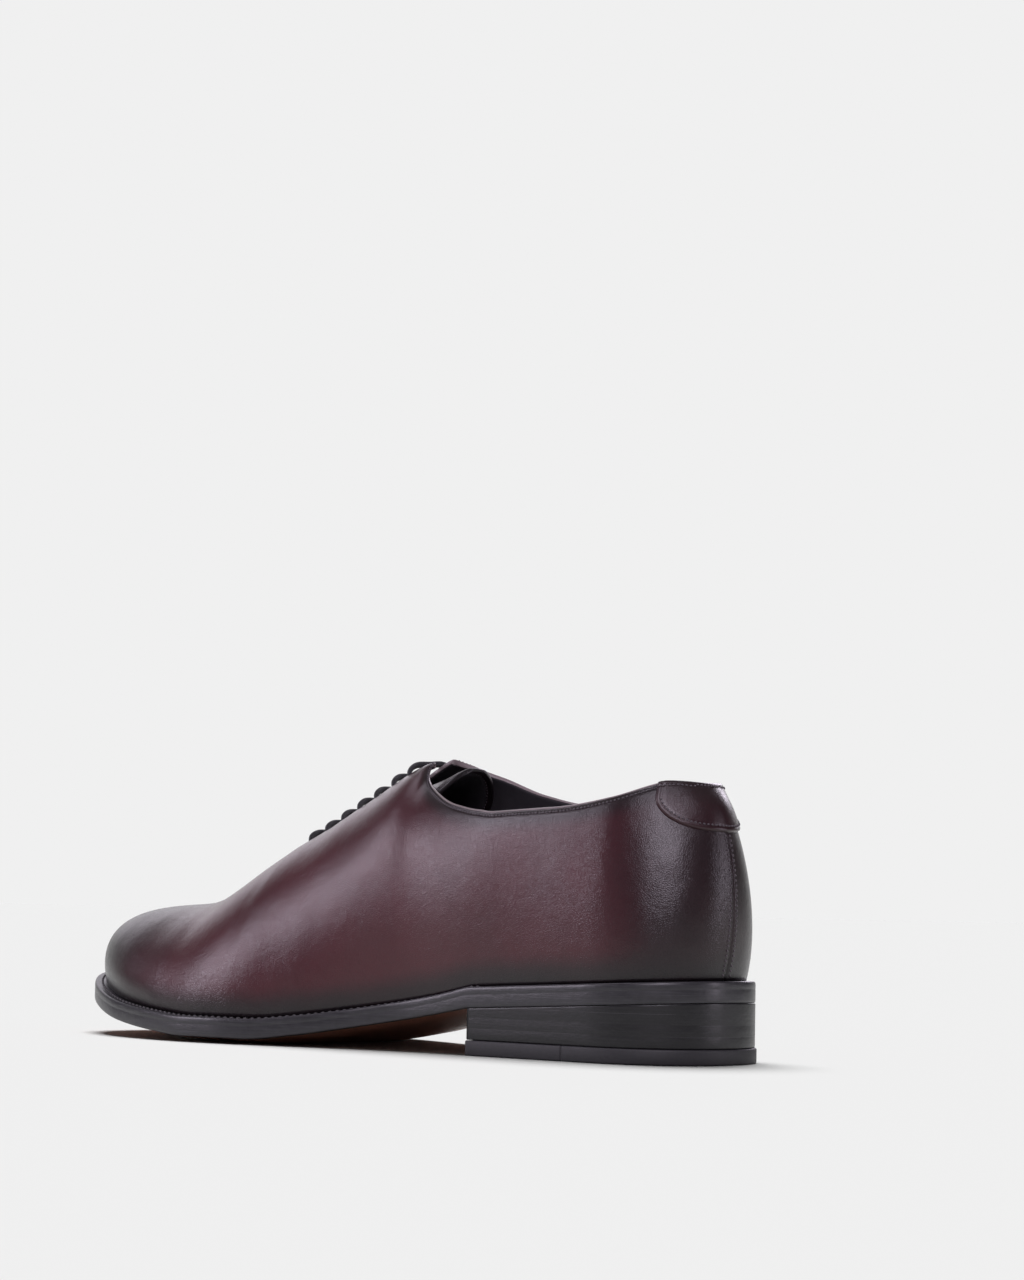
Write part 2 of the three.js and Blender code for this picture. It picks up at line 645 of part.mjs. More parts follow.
function makeLaces() {
  const proud = LACE_RADIUS + 2 * GAP;
  const under = ({ point, normal }) => point.clone().addScaledVector(normal, -(WALL + proud));
  const bars = eyeletPairs.map((pair) => {
    const [climb, descend] = pair.map((eyelet) => {
      const { point, normal } = eyelet;
      const rise = point.clone().addScaledVector(normal, proud);
      const edge = onUpper(eyelet.side, eyelet.at, EYELET_SETBACK / 3);
      const over = edge.point.addScaledVector(edge.normal, proud);
      return [under(eyelet), rise, over];
    });
    const crest = climb[2].clone().add(descend[2]).multiplyScalar(0.5);
    crest.z += GAP;
    const stops = [...climb, crest, ...descend.reverse()];
    return laceTube(new THREE.CatmullRomCurve3(stops, false, 'centripetal'), 18);
  });
  const links = eyeletPairs.slice(1).map((pair, i) => {
    const side = i % 2;
    return laceTube(new THREE.LineCurve3(under(eyeletPairs[i][side]), under(pair[side])), 1);
  });
  return wasm.Manifold.union([...bars, ...links]);
}

// Colours and surfaces
const FINISHES = {
  calf: { color: 0x3a1b20, roughness: 0.38, metalness: 0 },
  edge: { color: 0x17161a, roughness: 0.4, metalness: 0 },
  sole: { color: 0x4a2618, roughness: 0.6, metalness: 0 },
  rubber: { color: 0x141416, roughness: 0.7, metalness: 0 },
  lining: { color: 0x1a1818, roughness: 0.7, metalness: 0 },
  cord: { color: 0x1b1b1d, roughness: 0.85, metalness: 0 },
};

const lifts = makeHeelLifts();
const topPiece = makeTopPiece();
const pieces = {
  outsole: [makeOutsole(), 'sole'],
  welt: [makeWelt(), 'edge'],
  heel_rand: [makeHeelRand(), 'edge'],
  heel_wedge: [lifts.heel_wedge, 'edge'],
  heel_lift_2: [lifts.heel_lift_2, 'edge'],
  heel_lift_1: [lifts.heel_lift_1, 'edge'],
  heel_top_piece: [topPiece.heel_top_piece, 'edge'],
  heel_rubber_tip: [topPiece.heel_rubber_tip, 'rubber'],
  upper: [makeUpper(), 'calf'],
  heel_patch: [makeHeelPatch(), 'calf'],
  insole: [makeInsole(), 'lining'],
  tongue: [makeTongue(), 'calf'],
  laces: [makeLaces(), 'cord'],
};

const shoe = new THREE.Group();
for (const [name, [solid, finish]] of Object.entries(pieces)) {
  const mesh = new THREE.Mesh(geometryOf(solid), new THREE.MeshStandardMaterial(FINISHES[finish]));
  mesh.name = name;
  shoe.add(mesh);
}
const box = new THREE.Box3().setFromObject(shoe);
const centre = box.getCenter(new THREE.Vector3());
shoe.position.set(-centre.x, -centre.y, 0);
shoe.updateMatrixWorld(true);

export default shoe;
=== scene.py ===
# Oxford shoe for the left foot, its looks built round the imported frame
import math

import bmesh
import bpy
import numpy as np
from mathutils import Matrix, Vector
from mathutils.kdtree import KDTree


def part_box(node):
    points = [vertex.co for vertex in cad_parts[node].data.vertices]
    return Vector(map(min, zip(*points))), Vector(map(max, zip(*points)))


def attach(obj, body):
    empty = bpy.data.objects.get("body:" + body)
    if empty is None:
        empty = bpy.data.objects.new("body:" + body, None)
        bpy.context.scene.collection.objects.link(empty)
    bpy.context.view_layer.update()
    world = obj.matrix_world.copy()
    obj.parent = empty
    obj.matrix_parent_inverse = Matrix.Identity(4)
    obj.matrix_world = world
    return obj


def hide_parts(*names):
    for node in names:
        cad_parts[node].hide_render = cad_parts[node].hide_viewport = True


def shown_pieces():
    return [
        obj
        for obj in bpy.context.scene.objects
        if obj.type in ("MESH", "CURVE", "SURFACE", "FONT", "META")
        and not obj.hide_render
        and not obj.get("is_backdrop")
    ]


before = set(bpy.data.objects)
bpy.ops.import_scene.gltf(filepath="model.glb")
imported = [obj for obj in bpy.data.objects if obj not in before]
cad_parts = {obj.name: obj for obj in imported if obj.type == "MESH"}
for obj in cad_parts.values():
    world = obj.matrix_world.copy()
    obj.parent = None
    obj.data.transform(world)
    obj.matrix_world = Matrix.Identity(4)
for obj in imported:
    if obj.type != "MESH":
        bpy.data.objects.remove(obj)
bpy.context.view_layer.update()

MM = 0.001

# Sizes of the shoe in millimetres, as in the frame
LENGTH = 307.0
BALL_WIDTH = 107.0
TOE_SPRING = 16.6
OUTSOLE_EDGE = 4.4
WELT_THICKNESS = 2.5
WELT_WIDTH = 13.0
WELT_SHOWS_BALL = 5.2
WELT_SHOWS_TOE = 4.6
WELT_SHOWS_HEEL = 3.2
HEEL_LENGTH = 90.0
HEEL_HEIGHT_BACK = 20.7
HEEL_HEIGHT_BREAST = 16.3
TOP_PIECE_THICKNESS = 5.3
TOP_PIECE_PROUD = 0.6
RUBBER_TIP_LENGTH = 46.0
LIFT_THICKNESS = 3.6
BACK_HEIGHT = 66.6
ANKLE_HEIGHT = 60.6
INSTEP_HEIGHT = 87.6
TOE_BOX_HEIGHT = 33.7
WALL = 2.2
THROAT_GAP = 8.0
PATCH_THICKNESS = 1.1
PATCH_DROP = 15.0
PATCH_REACH = 20.0
PATCH_EDGE_SHARE = 0.985
EYELET_PAIRS = 7
EYELET_BORE = 4.6
EYELET_SETBACK = 9.0
EYELET_TOP_AT = 0.478
EYELET_LOW_AT = 0.61
INSOLE_THICKNESS = 3.0
TONGUE_THICKNESS = 2.0
TONGUE_DEPTH = 7.2
LACE_DIAMETER = 2.6
GAP = 0.3
THROAT_END = 0.635

# Rows of stitches, by their distance from the edge beside them, and the back seam's from its groove
COLLAR_ROW = 2.0
BACK_ROW = 1.9
TAB_ROW = 1.9
TONGUE_ROW = 2.3
WELT_ROW = 2.9
# How far the cut edge of the leather reaches over the upper's outer face and over its lining
CUT_OUTSIDE = 0.8
CUT_INSIDE = 0.3


def table(names, rows):
    """A table's columns by name."""
    data = np.array(rows, float)
    return {name: data[:, i] for i, name in enumerate(names.split())}


def column(rows, name, level=False):
    """A smooth curve through a column that never overshoots it; level makes it end level."""
    x, y = rows["at"], rows[name]
    chord = np.diff(y) / np.diff(x)
    slope = np.zeros(len(y))
    for i in range(1, len(y) - 1):
        before, after = chord[i - 1], chord[i]
        if before * after > 0:
            slope[i] = 2 * before * after / (before + after)
    if not level:
        slope[0], slope[-1] = chord[0], chord[-1]

    def read(at):
        t = np.clip(at, x[0], x[-1])
        i = np.clip(np.searchsorted(x, t) - 1, 0, len(x) - 2)
        h = x[i + 1] - x[i]
        s = (t - x[i]) / h
        ease = s * s * (3 - 2 * s)
        start = s * (1 - s) ** 2 * h * slope[i]
        end = s * s * (s - 1) * h * slope[i + 1]
        return y[i] + ease * (y[i + 1] - y[i]) + start + end

    return read


def smooth(low, high, value):
    s = np.clip((value - low) / (high - low), 0, 1)
    return s * s * (3 - 2 * s)


def bump(centre, reach, value):
    return np.exp(-(((value - centre) / reach) ** 2))


def wrap(p):
    """The place on the closed walk round the sole, brought into -1 to 1."""
    return (np.asarray(p, float) + 1) % 2 - 1


def unit(vectors):
    return vectors / np.maximum(np.linalg.norm(vectors, axis=-1, keepdims=True), 1e-9)


def run_of(line):
    """How far each point lies along a line of points."""
    return np.r_[0, np.cumsum(np.linalg.norm(np.diff(line, axis=0), axis=1))]


def gap_to(border, points):
    """How far each point of a grid lies from the nearest point of a border."""
    return np.linalg.norm(points[:, :, None] - border[None, None], axis=-1).min(-1)


def picked(places, *grids):
    """The entries of each grid at a list of places in it."""
    i, j = np.array(places).T
    return [grid[i, j] for grid in grids]


SOLE_PLAN = table("at width middle", [
    [0.0, 0.62, 0.0], [0.125, 0.622, 0.0], [0.295, 0.608, 0.003], [0.375, 0.585, 0.01],
    [0.46, 0.65, 0.01], [0.56, 0.83, 0.003], [0.65, 0.97, -0.006], [0.705, 1.0, -0.012],
    [0.77, 0.965, -0.017], [0.84, 0.875, -0.02], [0.92, 0.77, -0.02], [1.0, 0.69, -0.02]])
SOLE_SIDE = table("at arch spring crown edge", [
    [0.295, 1.0, 0.0, 0.0, 1.0], [0.35, 0.8, 0.0, 0.3, 0.86], [0.41, 0.6, 0.0, 0.6, 0.82],
    [0.475, 0.38, 0.0, 1.0, 0.84], [0.54, 0.16, 0.0, 1.5, 0.92], [0.61, 0.0, 0.0, 2.0, 1.0],
    [0.7, 0.0, 0.0, 2.1, 1.0], [0.75, 0.0, 0.07, 2.0, 0.97], [0.84, 0.0, 0.28, 1.4, 0.92],
    [0.92, 0.0, 0.6, 0.8, 0.86], [1.0, 0.0, 1.0, 0.5, 0.82]])
BACK, ANKLE, INSTEP, TOE_BOX = BACK_HEIGHT, ANKLE_HEIGHT, INSTEP_HEIGHT, TOE_BOX_HEIGHT
THROAT = THROAT_GAP / BALL_WIDTH
RIBS = table("at along across high inner lean fall flare foot_arm head_arm", [
    [0.0, 0.033, 0.0, BACK, 0, 60, 0, 17, 0.28, 0.36],
    [0.1, 0.056, 0.13, 1.012 * BACK, 0, 66, 0, 12, 0.27, 0.32],
    [0.17, 0.108, 0.228, 0.945 * BACK, 1, 72, 0, 11, 0.26, 0.3],
    [0.24, 0.187, 0.252, ANKLE, 2, 76, 0, 10, 0.26, 0.3],
    [0.31, 0.275, 0.26, ANKLE, 3.5, 72, 4, 10, 0.28, 0.3],
    [0.36, 0.345, 0.228, 1.105 * ANKLE, 5, 62, 12, 10, 0.3, 0.3],
    [0.395, 0.39, 0.178, 0.845 * INSTEP, 6, 48, 20, 9, 0.31, 0.31],
    [0.425, 0.422, 0.118, 0.92 * INSTEP, 5, 30, 24, 9, 0.32, 0.32],
    [0.44, 0.433, 0.077, 0.968 * INSTEP, 3, 18, 25, 9, 0.32, 0.33],
    [0.455, 0.441, 0.5 * THROAT, INSTEP, 1.5, 10, 25, 9, 0.32, 0.33],
    [0.53, 0.534, 0.48 * THROAT, 0.903 * INSTEP, 0, 8, 25, 8, 0.31, 0.34],
    [0.615, 0.639, 0.42 * THROAT, 0.752 * INSTEP, 0, 5, 26, 8, 0.3, 0.36],
    [0.635, 0.662, 0.0, 0.712 * INSTEP, 0, 0, 29, 8, 0.3, 0.38],
    [0.68, 0.715, 0.0, 0.605 * INSTEP, 0, 0, 30, 9, 0.3, 0.4],
    [0.72, 0.761, 0.0, 0.51 * INSTEP, 0, 0, 23, 10, 0.31, 0.43],
    [0.76, 0.797, 0.0, 1.2 * TOE_BOX, 0, 0, 14, 12, 0.33, 0.47],
    [0.81, 0.836, 0.0, 1.115 * TOE_BOX, 0, 0, 6, 14, 0.37, 0.52],
    [0.87, 0.866, 0.0, 1.06 * TOE_BOX, 0, 0, 4, 15, 0.41, 0.56],
    [0.93, 0.882, 0.0, 1.02 * TOE_BOX, 0, 0, 4, 15, 0.43, 0.59],
    [1.0, 0.888, 0.0, TOE_BOX, 0, 0, 5, 15, 0.44, 0.6]])
RIDGE_SHIFT = table("at share", [[0.0, 0.0], [0.4, -0.005], [0.55, -0.025], [0.75, -0.03], [1.0, -0.02]])
WELT_SHOWS = table("at shows", [
    [0.0, WELT_SHOWS_HEEL], [0.4, WELT_SHOWS_HEEL], [0.62, WELT_SHOWS_BALL],
    [0.9, WELT_SHOWS_TOE], [1.0, WELT_SHOWS_TOE]])
TONGUE = table("at half droop sink", [
    [0.385, 0.207, 0.173, -1.3], [0.441, 0.19, 0.173, 0.0], [0.534, 0.185, 0.133, 0.0],
    [0.639, 0.17, 0.09, 0.0], [0.71, 0.14, 0.05, 0.0]])

width_at, middle_at = column(SOLE_PLAN, "width"), column(SOLE_PLAN, "middle")
arch_at, spring_at = column(SOLE_SIDE, "arch"), column(SOLE_SIDE, "spring")
crown_at, edge_share_at = column(SOLE_SIDE, "crown"), column(SOLE_SIDE, "edge")
rib_at = {n: column(RIBS, n, n != "across") for n in RIBS if n != "at"}
ridge_shift_at = column(RIDGE_SHIFT, "share")
welt_shows_at = column(WELT_SHOWS, "shows")


def round_end(depth, share, power):
    x = np.clip(1 - depth / share, 0, 1)
    return (1 - x**power) ** (1 / power)


def half_width(at):
    return 0.5 * BALL_WIDTH * width_at(at) * round_end(at, 0.125, 2.35) * round_end(1 - at, 0.18, 2.2)


def underside(at):
    heel = HEEL_HEIGHT_BACK + (HEEL_HEIGHT_BREAST - HEEL_HEIGHT_BACK) * at * LENGTH / HEEL_LENGTH
    sole = HEEL_HEIGHT_BREAST * arch_at(at) + TOE_SPRING * spring_at(at)
    return np.where(at < HEEL_LENGTH / LENGTH, heel, sole)


def outsole_top(at):
    return underside(at) + crown_at(at) + OUTSOLE_EDGE * edge_share_at(at)


def welt_top(at):
    return outsole_top(at) + GAP + WELT_THICKNESS


# The sole's edge as one closed walk: -1 to 0 up the inner side from toe to heel, 0 to 1 down the outer
WALK = {}
for side in (1, -1):
    at = 0.5 - 0.5 * np.cos(np.pi * np.linspace(0, 1, 1201))
    along, across = at * LENGTH, BALL_WIDTH * middle_at(at) + side * half_width(at)
    WALK[side] = (along, across, run_of(np.stack([along, across], 1)))
OUTER_WALK = WALK[1][2][-1]
SHIFT_X = -(WALK[1][1].max() + WALK[-1][1].min()) / 2
SHIFT_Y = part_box("outsole")[1].y / MM - LENGTH / 2


def place(along, across, up):
    along, across, up = np.broadcast_arrays(along, across, up)
    return np.stack([across + SHIFT_X, LENGTH / 2 - along + SHIFT_Y, up], -1)


def along_of(points):
    return LENGTH / 2 + SHIFT_Y - points[..., 1]


def edge_line(p):
    """Places along and across the sole's edge, at places on the walk."""
    p = wrap(p)
    found = []
    for which in (0, 1):
        sides = [np.interp(abs(p) * WALK[s][2][-1], WALK[s][2], WALK[s][which]) for s in (1, -1)]
        found.append(np.where(p >= 0, sides[0], sides[1]))
    return found


def edge(p, inset, step=0.006):
    """The sole's edge moved inwards, and the way outwards there."""
    along, across = edge_line(p)
    ahead, behind = edge_line(np.asarray(p) + step), edge_line(np.asarray(p) - step)
    out_along, out_across = behind[1] - ahead[1], ahead[0] - behind[0]
    size = np.hypot(out_along, out_across)
    out_along, out_across = out_along / size, out_across / size
    return along - inset * out_along, across - inset * out_across, out_along, out_across


def lengthwise(end, back, middle, front):
    """Shares of the walk from heel to toe, with a count of places for each stretch."""
    return np.concatenate([np.linspace(end, 0.1, back)[:-1], np.linspace(0.1, 0.9, middle),
                           np.linspace(0.9, 1 - end, front)[1:]])


def across_sole(share, inset, w):
    """Places along and across a face of the sole: share runs from heel to toe, w from inner to outer side."""
    outer, inner = edge(share, inset), edge(-share, inset)
    k = (w[None] + 1) / 2
    return [inner[i][:, None] + k * (outer[i] - inner[i])[:, None] for i in (0, 1)]


def share_at(side, along):
    walk = WALK[side]
    return np.interp(along, walk[0], walk[2]) / walk[2][-1]


# The upper: ribs as cubic curves, read at any place on the walk and any distance from their heads
def rib_curves(p):
    p = wrap(p)
    at, side = abs(p), np.where(p >= 0, 1.0, -1.0)
    row = {name: read(at) for name, read in rib_at.items()}
    along, across, out_along, out_across = edge(p, welt_shows_at(at))
    foot = place(along, across, welt_top(along / LENGTH) + GAP)
    head_across = BALL_WIDTH * (side * row["across"] + ridge_shift_at(row["along"]))
    lift = np.where(side < 0, row["inner"], 0)
    head = place(row["along"] * LENGTH, head_across, welt_top(row["along"]) + GAP + row["high"] + lift)
    reach = np.linalg.norm(head - foot, axis=-1)[..., None]
    flare, lean, fall = (np.radians(row[n])[..., None] for n in ("flare", "lean", "fall"))
    zero = np.zeros_like(out_along)
    outwards = np.stack([out_across, -out_along, zero], -1)
    up = np.array([0.0, 0.0, 1.0])
    foot_way = outwards * np.sin(flare) + up * np.cos(flare)
    ridge_way = np.concatenate([0 * fall, -np.cos(fall), -np.sin(fall)], -1)
    head_way = np.stack([out_across, zero, zero], -1) + ridge_way * out_along[..., None]
    head_way = unit(head_way * np.cos(lean) - up * np.sin(lean))
    return (foot, foot + foot_way * row["foot_arm"][..., None] * reach,
            head + head_way * row["head_arm"][..., None] * reach, head)


def bezier(curves, t):
    a, b, c, d = (q[..., None, :] for q in curves)
    t = t[..., None]
    return (1 - t) ** 3 * a + 3 * (1 - t) ** 2 * t * b + 3 * (1 - t) * t * t * c + t**3 * d


def rib_lengths(curves):
    t = np.linspace(1, 0, 161)
    points = bezier(curves, np.broadcast_to(t, (len(curves[0]), len(t))))
    steps = np.linalg.norm(np.diff(points, axis=1), axis=-1)
    return t, np.concatenate([np.zeros((len(steps), 1)), np.cumsum(steps, 1)], 1)


def rib_length(p):
    return rib_lengths(rib_curves(p))[1][:, -1:]


def on_ribs(p, share):
    """Points on the ribs at a share of each rib's length from its head."""
    curves = rib_curves(p)
    t, lengths = rib_lengths(curves)
    at = np.stack([np.interp(share[i] * lengths[i, -1], lengths[i], t) for i in range(len(p))])
    return bezier(curves, at)


# The ribs under the throat's corner are eased over these steps to each side, with this reach
EASE_STEPS = np.linspace(-0.044, 0.044, 9)
EASE_REACH = 0.024
HEEL_TUCK = 1.7


def upper_points(p, distance):
    """The leather's face, eased under the throat's corner and rounded in behind the tab."""
    p = np.asarray(p, float)
    share = distance / rib_length(p)
    points = on_ribs(p, share)
    side = np.abs(wrap(p))
    weight = smooth(0.34, 0.39, side) * smooth(0.545, 0.5, side)
    chosen = np.flatnonzero(weight > 0)
    if len(chosen):
        some, kernel = share[chosen], bump(0, EASE_REACH, EASE_STEPS)
        total = sum(k * on_ribs(p[chosen] + step, some) for k, step in zip(kernel, EASE_STEPS))
        amount = (weight[chosen, None] * smooth(2, 16, distance[chosen]))[..., None]
        points[chosen] += (total / kernel.sum() - points[chosen]) * amount
    inwards = bump(0, 0.1, side)[:, None] * (1 - smooth(0, 13, distance)) ** 1.5
    points[..., 1] -= HEEL_TUCK * inwards
    return points


def upper_normals(p, distance, step=0.0025, reach=0.4):
    lengths = rib_length(p)
    near, far = np.clip(distance - reach, 0, lengths), np.clip(distance + reach, 0, lengths)
    across = upper_points(p + step, distance) - upper_points(p - step, distance)
    return unit(np.cross(across, upper_points(p, far) - upper_points(p, near)))


# Soft troughs and ridges of the worn-in leather: side, along, height, reach along, reach up, turn, depth
CREASES = [
    (1, 204, 56, 8.0, 24, 0.55, -0.16), (1, 216, 53, 6.0, 22, 0.6, 0.1), (1, 228, 47, 8.0, 18, 0.6, -0.14),
    (-1, 204, 56, 8.0, 24, 0.55, -0.16), (-1, 217, 53, 6.0, 22, 0.6, 0.1), (-1, 229, 46, 8.0, 18, 0.6, -0.14),
    (1, 55, 70, 12.0, 24, -0.1, 0.14), (1, 38, 64, 9.0, 22, 0.0, -0.16), (1, 126, 72, 16.0, 20, 0.7, -0.18),
    (-1, 55, 72, 12.0, 24, -0.1, 0.14), (-1, 126, 74, 16.0, 20, 0.7, -0.18), (1, 13, 58, 4.0, 9, 0.0, -0.14),
    (1, 10, 70, 3.5, 7, 0.3, 0.14), (-1, 13, 60, 4.0, 10, 0.0, -0.14), (1, 160, 48, 18, 14, 0.5, -0.14)]


def crease_depth(p, points):
    along = along_of(points)
    side = np.where(np.asarray(p) >= 0, 1, -1)[:, None]
    depth = np.zeros(points.shape[:-1])
    for which, at, high, reach, tall, turn, deep in CREASES:
        a, h = along - at, points[..., 2] - high
        x, y = a * math.cos(turn) + h * math.sin(turn), h * math.cos(turn) - a * math.sin(turn)
        depth += np.where(side == which, deep, 0) * np.exp(-((x / reach) ** 2) - (y / tall) ** 2)
    return depth


# Meshes
def put(name, data):
    """An object with this data, in the scene."""
    made = bpy.data.objects.new(name, data)
    bpy.context.scene.collection.objects.link(made)
    return made


def grid_faces(n, m, closed=False, flip=False, start=0):
    i, j = np.meshgrid(np.arange(n if closed else n - 1), np.arange(m - 1), indexing="ij")
    k = (i + 1) % n
    quads = np.stack([i * m + j, k * m + j, k * m + j + 1, i * m + j + 1], -1).reshape(-1, 4) + start
    return quads[:, ::-1] if flip else quads


def make(name, verts, faces, materials, index=None, attributes=None, merge=0.0, outwards=False):
    """A mesh from points in millimetres; merge joins points that are this close together."""
    mesh = bpy.data.meshes.new(name)
    points = np.asarray(verts, float).reshape(-1, 3) * MM
    mesh.from_pydata(points.tolist(), [], [list(map(int, f)) for f in faces])
    for key, values in (attributes or {}).items():
        values = np.asarray(values, float)
        kind = "FLOAT_VECTOR" if values.ndim > 1 and values.shape[-1] == 3 else "FLOAT"
        layer = mesh.attributes.new(key, kind, "POINT")
        layer.data.foreach_set("vector" if kind == "FLOAT_VECTOR" else "value", values.ravel())
    for material in materials:
        mesh.materials.append(material)
    if index is not None:
        mesh.polygons.foreach_set("material_index", np.asarray(index, int))
    if merge or outwards:
        work = bmesh.new()
        work.from_mesh(mesh)
        if merge:
            bmesh.ops.remove_doubles(work, verts=work.verts, dist=merge * MM)
            bmesh.ops.dissolve_degenerate(work, edges=work.edges, dist=merge * MM / 20)
        if outwards:
            bmesh.ops.recalc_face_normals(work, faces=work.faces)
        work.to_mesh(mesh)
        work.free()
    mesh.polygons.foreach_set("use_smooth", [True] * len(mesh.polygons))
    return put(name, mesh)


def settle(piece, slot, *nodes):
    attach(piece, "root")
    if nodes:
        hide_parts(*nodes)
    return piece


def rings_round(line, aside, up, wide, tall, sides):
    """A ring of points round each point of a line, by its half width and half height."""
    angle = np.linspace(0, 2 * np.pi, sides, endpoint=False)
    wide, tall = (np.broadcast_to(v, len(line))[:, None, None] for v in (wide, tall))
    return (line[:, None] + wide * np.cos(angle)[None, :, None] * aside[:, None]
            + tall * np.sin(angle)[None, :, None] * up[:, None])


def tube_faces(rings, sides, start=0):
    faces = []
    for i in range(rings - 1):
        low, high = start + i * sides, start + (i + 1) * sides
        for j in range(sides):
            k = (j + 1) % sides
            faces.append((low + j, low + k, high + k, high + j))
    ends = (start, start + (rings - 1) * sides)
    return faces + [tuple(end + j for j in range(sides)) for end in ends]


# Materials, with their patterns in millimetres
MILLIMETRES = (1000, 1000, 1000)


def feed(tree, socket, value):
    """Links a socket to another one, or sets it; a colour is given without its alpha."""
    if isinstance(value, bpy.types.NodeSocket):
        tree.links.new(value, socket)
    else:
        socket.default_value = (*value, 1) if socket.type == "RGBA" else value


class Nodes:
    """The node tree of a material or of the world."""

    def __init__(self, owner):
        owner.use_nodes = True
        self.owner, self.tree = owner, owner.node_tree

    def add(self, kind, inputs=None, **settings):
        node = self.tree.nodes.new(kind)
        for key, value in settings.items():
            setattr(node, key, value)
        for key, value in (inputs or {}).items():
            feed(self.tree, node.inputs[key], value)
        return node

    def math(self, operation, a, b=0.0, c=None, clamp=False):
        inputs = {0: a, 1: b} if c is None else {0: a, 1: b, 2: c}
        return self.add("ShaderNodeMath", inputs, operation=operation, use_clamp=clamp).outputs[0]

    def spread(self, value, amount):
        """A value from 0 to 1 as a push either way, with this much between its ends."""
        return self.math("MULTIPLY_ADD", value, amount, -amount / 2)

    def fade(self, value, reach):
        """1 where the value is 0, down to 0 at the reach."""
        return self.math("SUBTRACT", 1.0, self.math("DIVIDE", value, reach), clamp=True)

    def stretch(self, vector, scale):
        return self.add("ShaderNodeMapping", {"Vector": vector, "Scale": scale}).outputs[0]

    def place(self, scale=MILLIMETRES):
        return self.stretch(self.add("ShaderNodeTexCoord").outputs["Object"], scale)

    def value(self, name, output="Fac"):
        return self.add("ShaderNodeAttribute", attribute_name=name).outputs[output]

    def noise(self, vector, scale, detail=3.0, rough=0.55):
        inputs = {"Vector": vector, "Scale": scale, "Detail": detail, "Roughness": rough}
        return self.add("ShaderNodeTexNoise", inputs).outputs["Fac"]

    def ramp(self, value, stops):
        node = self.add("ShaderNodeValToRGB", {"Fac": value})
        points = node.color_ramp.elements
        while len(points) < len(stops):
            points.new(0.5)
        for point, (at, colour) in zip(points, stops):
            point.position = at
            point.color = (*colour, 1)
        return node.outputs["Color"]

    def mix(self, amount, a, b):
        return self.add("ShaderNodeMix", {0: amount, 6: a, 7: b}, data_type="RGBA").outputs[2]

    def bump(self, height, strength, depth, normal=None):
        """Bumps of a depth in millimetres, on top of those that the normal already has."""
        inputs = {"Height": height, "Strength": strength, "Distance": depth * MM}
        if normal is not None:
            inputs["Normal"] = normal
        return self.add("ShaderNodeBump", inputs).outputs[0]

    def finish(self, **inputs):
        shader = self.tree.nodes["Principled BSDF"]
        for key, value in inputs.items():
            feed(self.tree, shader.inputs[key.replace("_", " ")], value)
        return self.owner


def new_material(name):
    return Nodes(bpy.data.materials.new(name))


# The calf from its lightest red to its burnished black, and the pale grey of a cut edge, partly worn and
# partly a painted highlight along the rim
OXBLOOD = [(0.0, (0.052, 0.0078, 0.0125)), (0.3, (0.032, 0.006, 0.0095)), (0.65, (0.0145, 0.005, 0.007)),
           (1.0, (0.0065, 0.0046, 0.0058))]
WORN_EDGE_AND_HIGHLIGHT = (0.26, 0.21, 0.215)
# The darkness value is 0 to 1 on the leather's face, from dye and from painted shade; these mark a cut edge
# and the lining
CUT_EDGE = 1.4
LINED = 0.8


def calf(name, grain=1.0):
    """Polished calf: dyed darker by its darkness value, which also holds painted shade at the back, in clouds
    and fine speckles, with pores under the polish.
    """
    n = new_material(name)
    where = n.place()
    darkness = n.value("darkness")
    cloud = n.noise(where, 0.045, 3.0, 0.5)
    dark = n.math("ADD", darkness, n.spread(cloud, 0.34))
    dark = n.math("ADD", dark, n.spread(n.noise(where, 1.1, 2.0), 0.2), clamp=True)
    # The cut edge along the collar and throat is painted pale grey: partly a worn raw edge, partly a painted
    # highlight along the rim
    wear_and_highlight = n.add("ShaderNodeMapRange", {"Value": darkness, "From Min": 1.05, "From Max": 1.35}).outputs["Result"]
    wear_and_highlight = n.math("MULTIPLY", wear_and_highlight, n.math("MULTIPLY_ADD", cloud, 0.8, 0.25))
    colour = n.mix(wear_and_highlight, n.ramp(dark, OXBLOOD), WORN_EDGE_AND_HIGHLIGHT)
    pores = n.add("ShaderNodeTexVoronoi", {"Vector": where, "Scale": 1.4, "Randomness": 1.0},
                  feature="DISTANCE_TO_EDGE").outputs["Distance"]
    pores = n.math("MULTIPLY", n.math("SMOOTH_MIN", pores, 0.22, 0.12), 1.1)
    height = n.math("ADD", pores, n.math("MULTIPLY", n.noise(where, 2.6, 3.0, 0.6), 0.45))
    normal = n.bump(n.noise(where, 0.16, 2.0), 0.16, 0.9)
    normal = n.bump(height, 0.5 * grain, 0.2, normal)
    rough = n.math("MULTIPLY_ADD", n.noise(where, 0.35), 0.12, 0.38)
    return n.finish(Base_Color=colour, Roughness=rough, Normal=normal, Specular_IOR_Level=0.16,
                    Coat_Weight=0.6, Coat_Roughness=0.18, Coat_IOR=1.45, Coat_Normal=normal)


def dull(name, dark, light, cloud, pores, strength, depth, rough, level):
    """Plain dull stuff: two tints in clouds, and a fine bump of pores."""
    n = new_material(name)
    where = n.place()
    colour = n.mix(n.noise(where, cloud), dark, light)
    normal = n.bump(n.noise(where, pores), strength, depth)
    return n.finish(Base_Color=colour, Roughness=rough, Normal=normal, Specular_IOR_Level=level)


WAX_TINTS = ((0.3, (0.0055, 0.0052, 0.006)), (0.6, (0.0125, 0.012, 0.0138)), (0.8, (0.034, 0.032, 0.037)))
SCORE_TINT = (0.075, 0.07, 0.078)


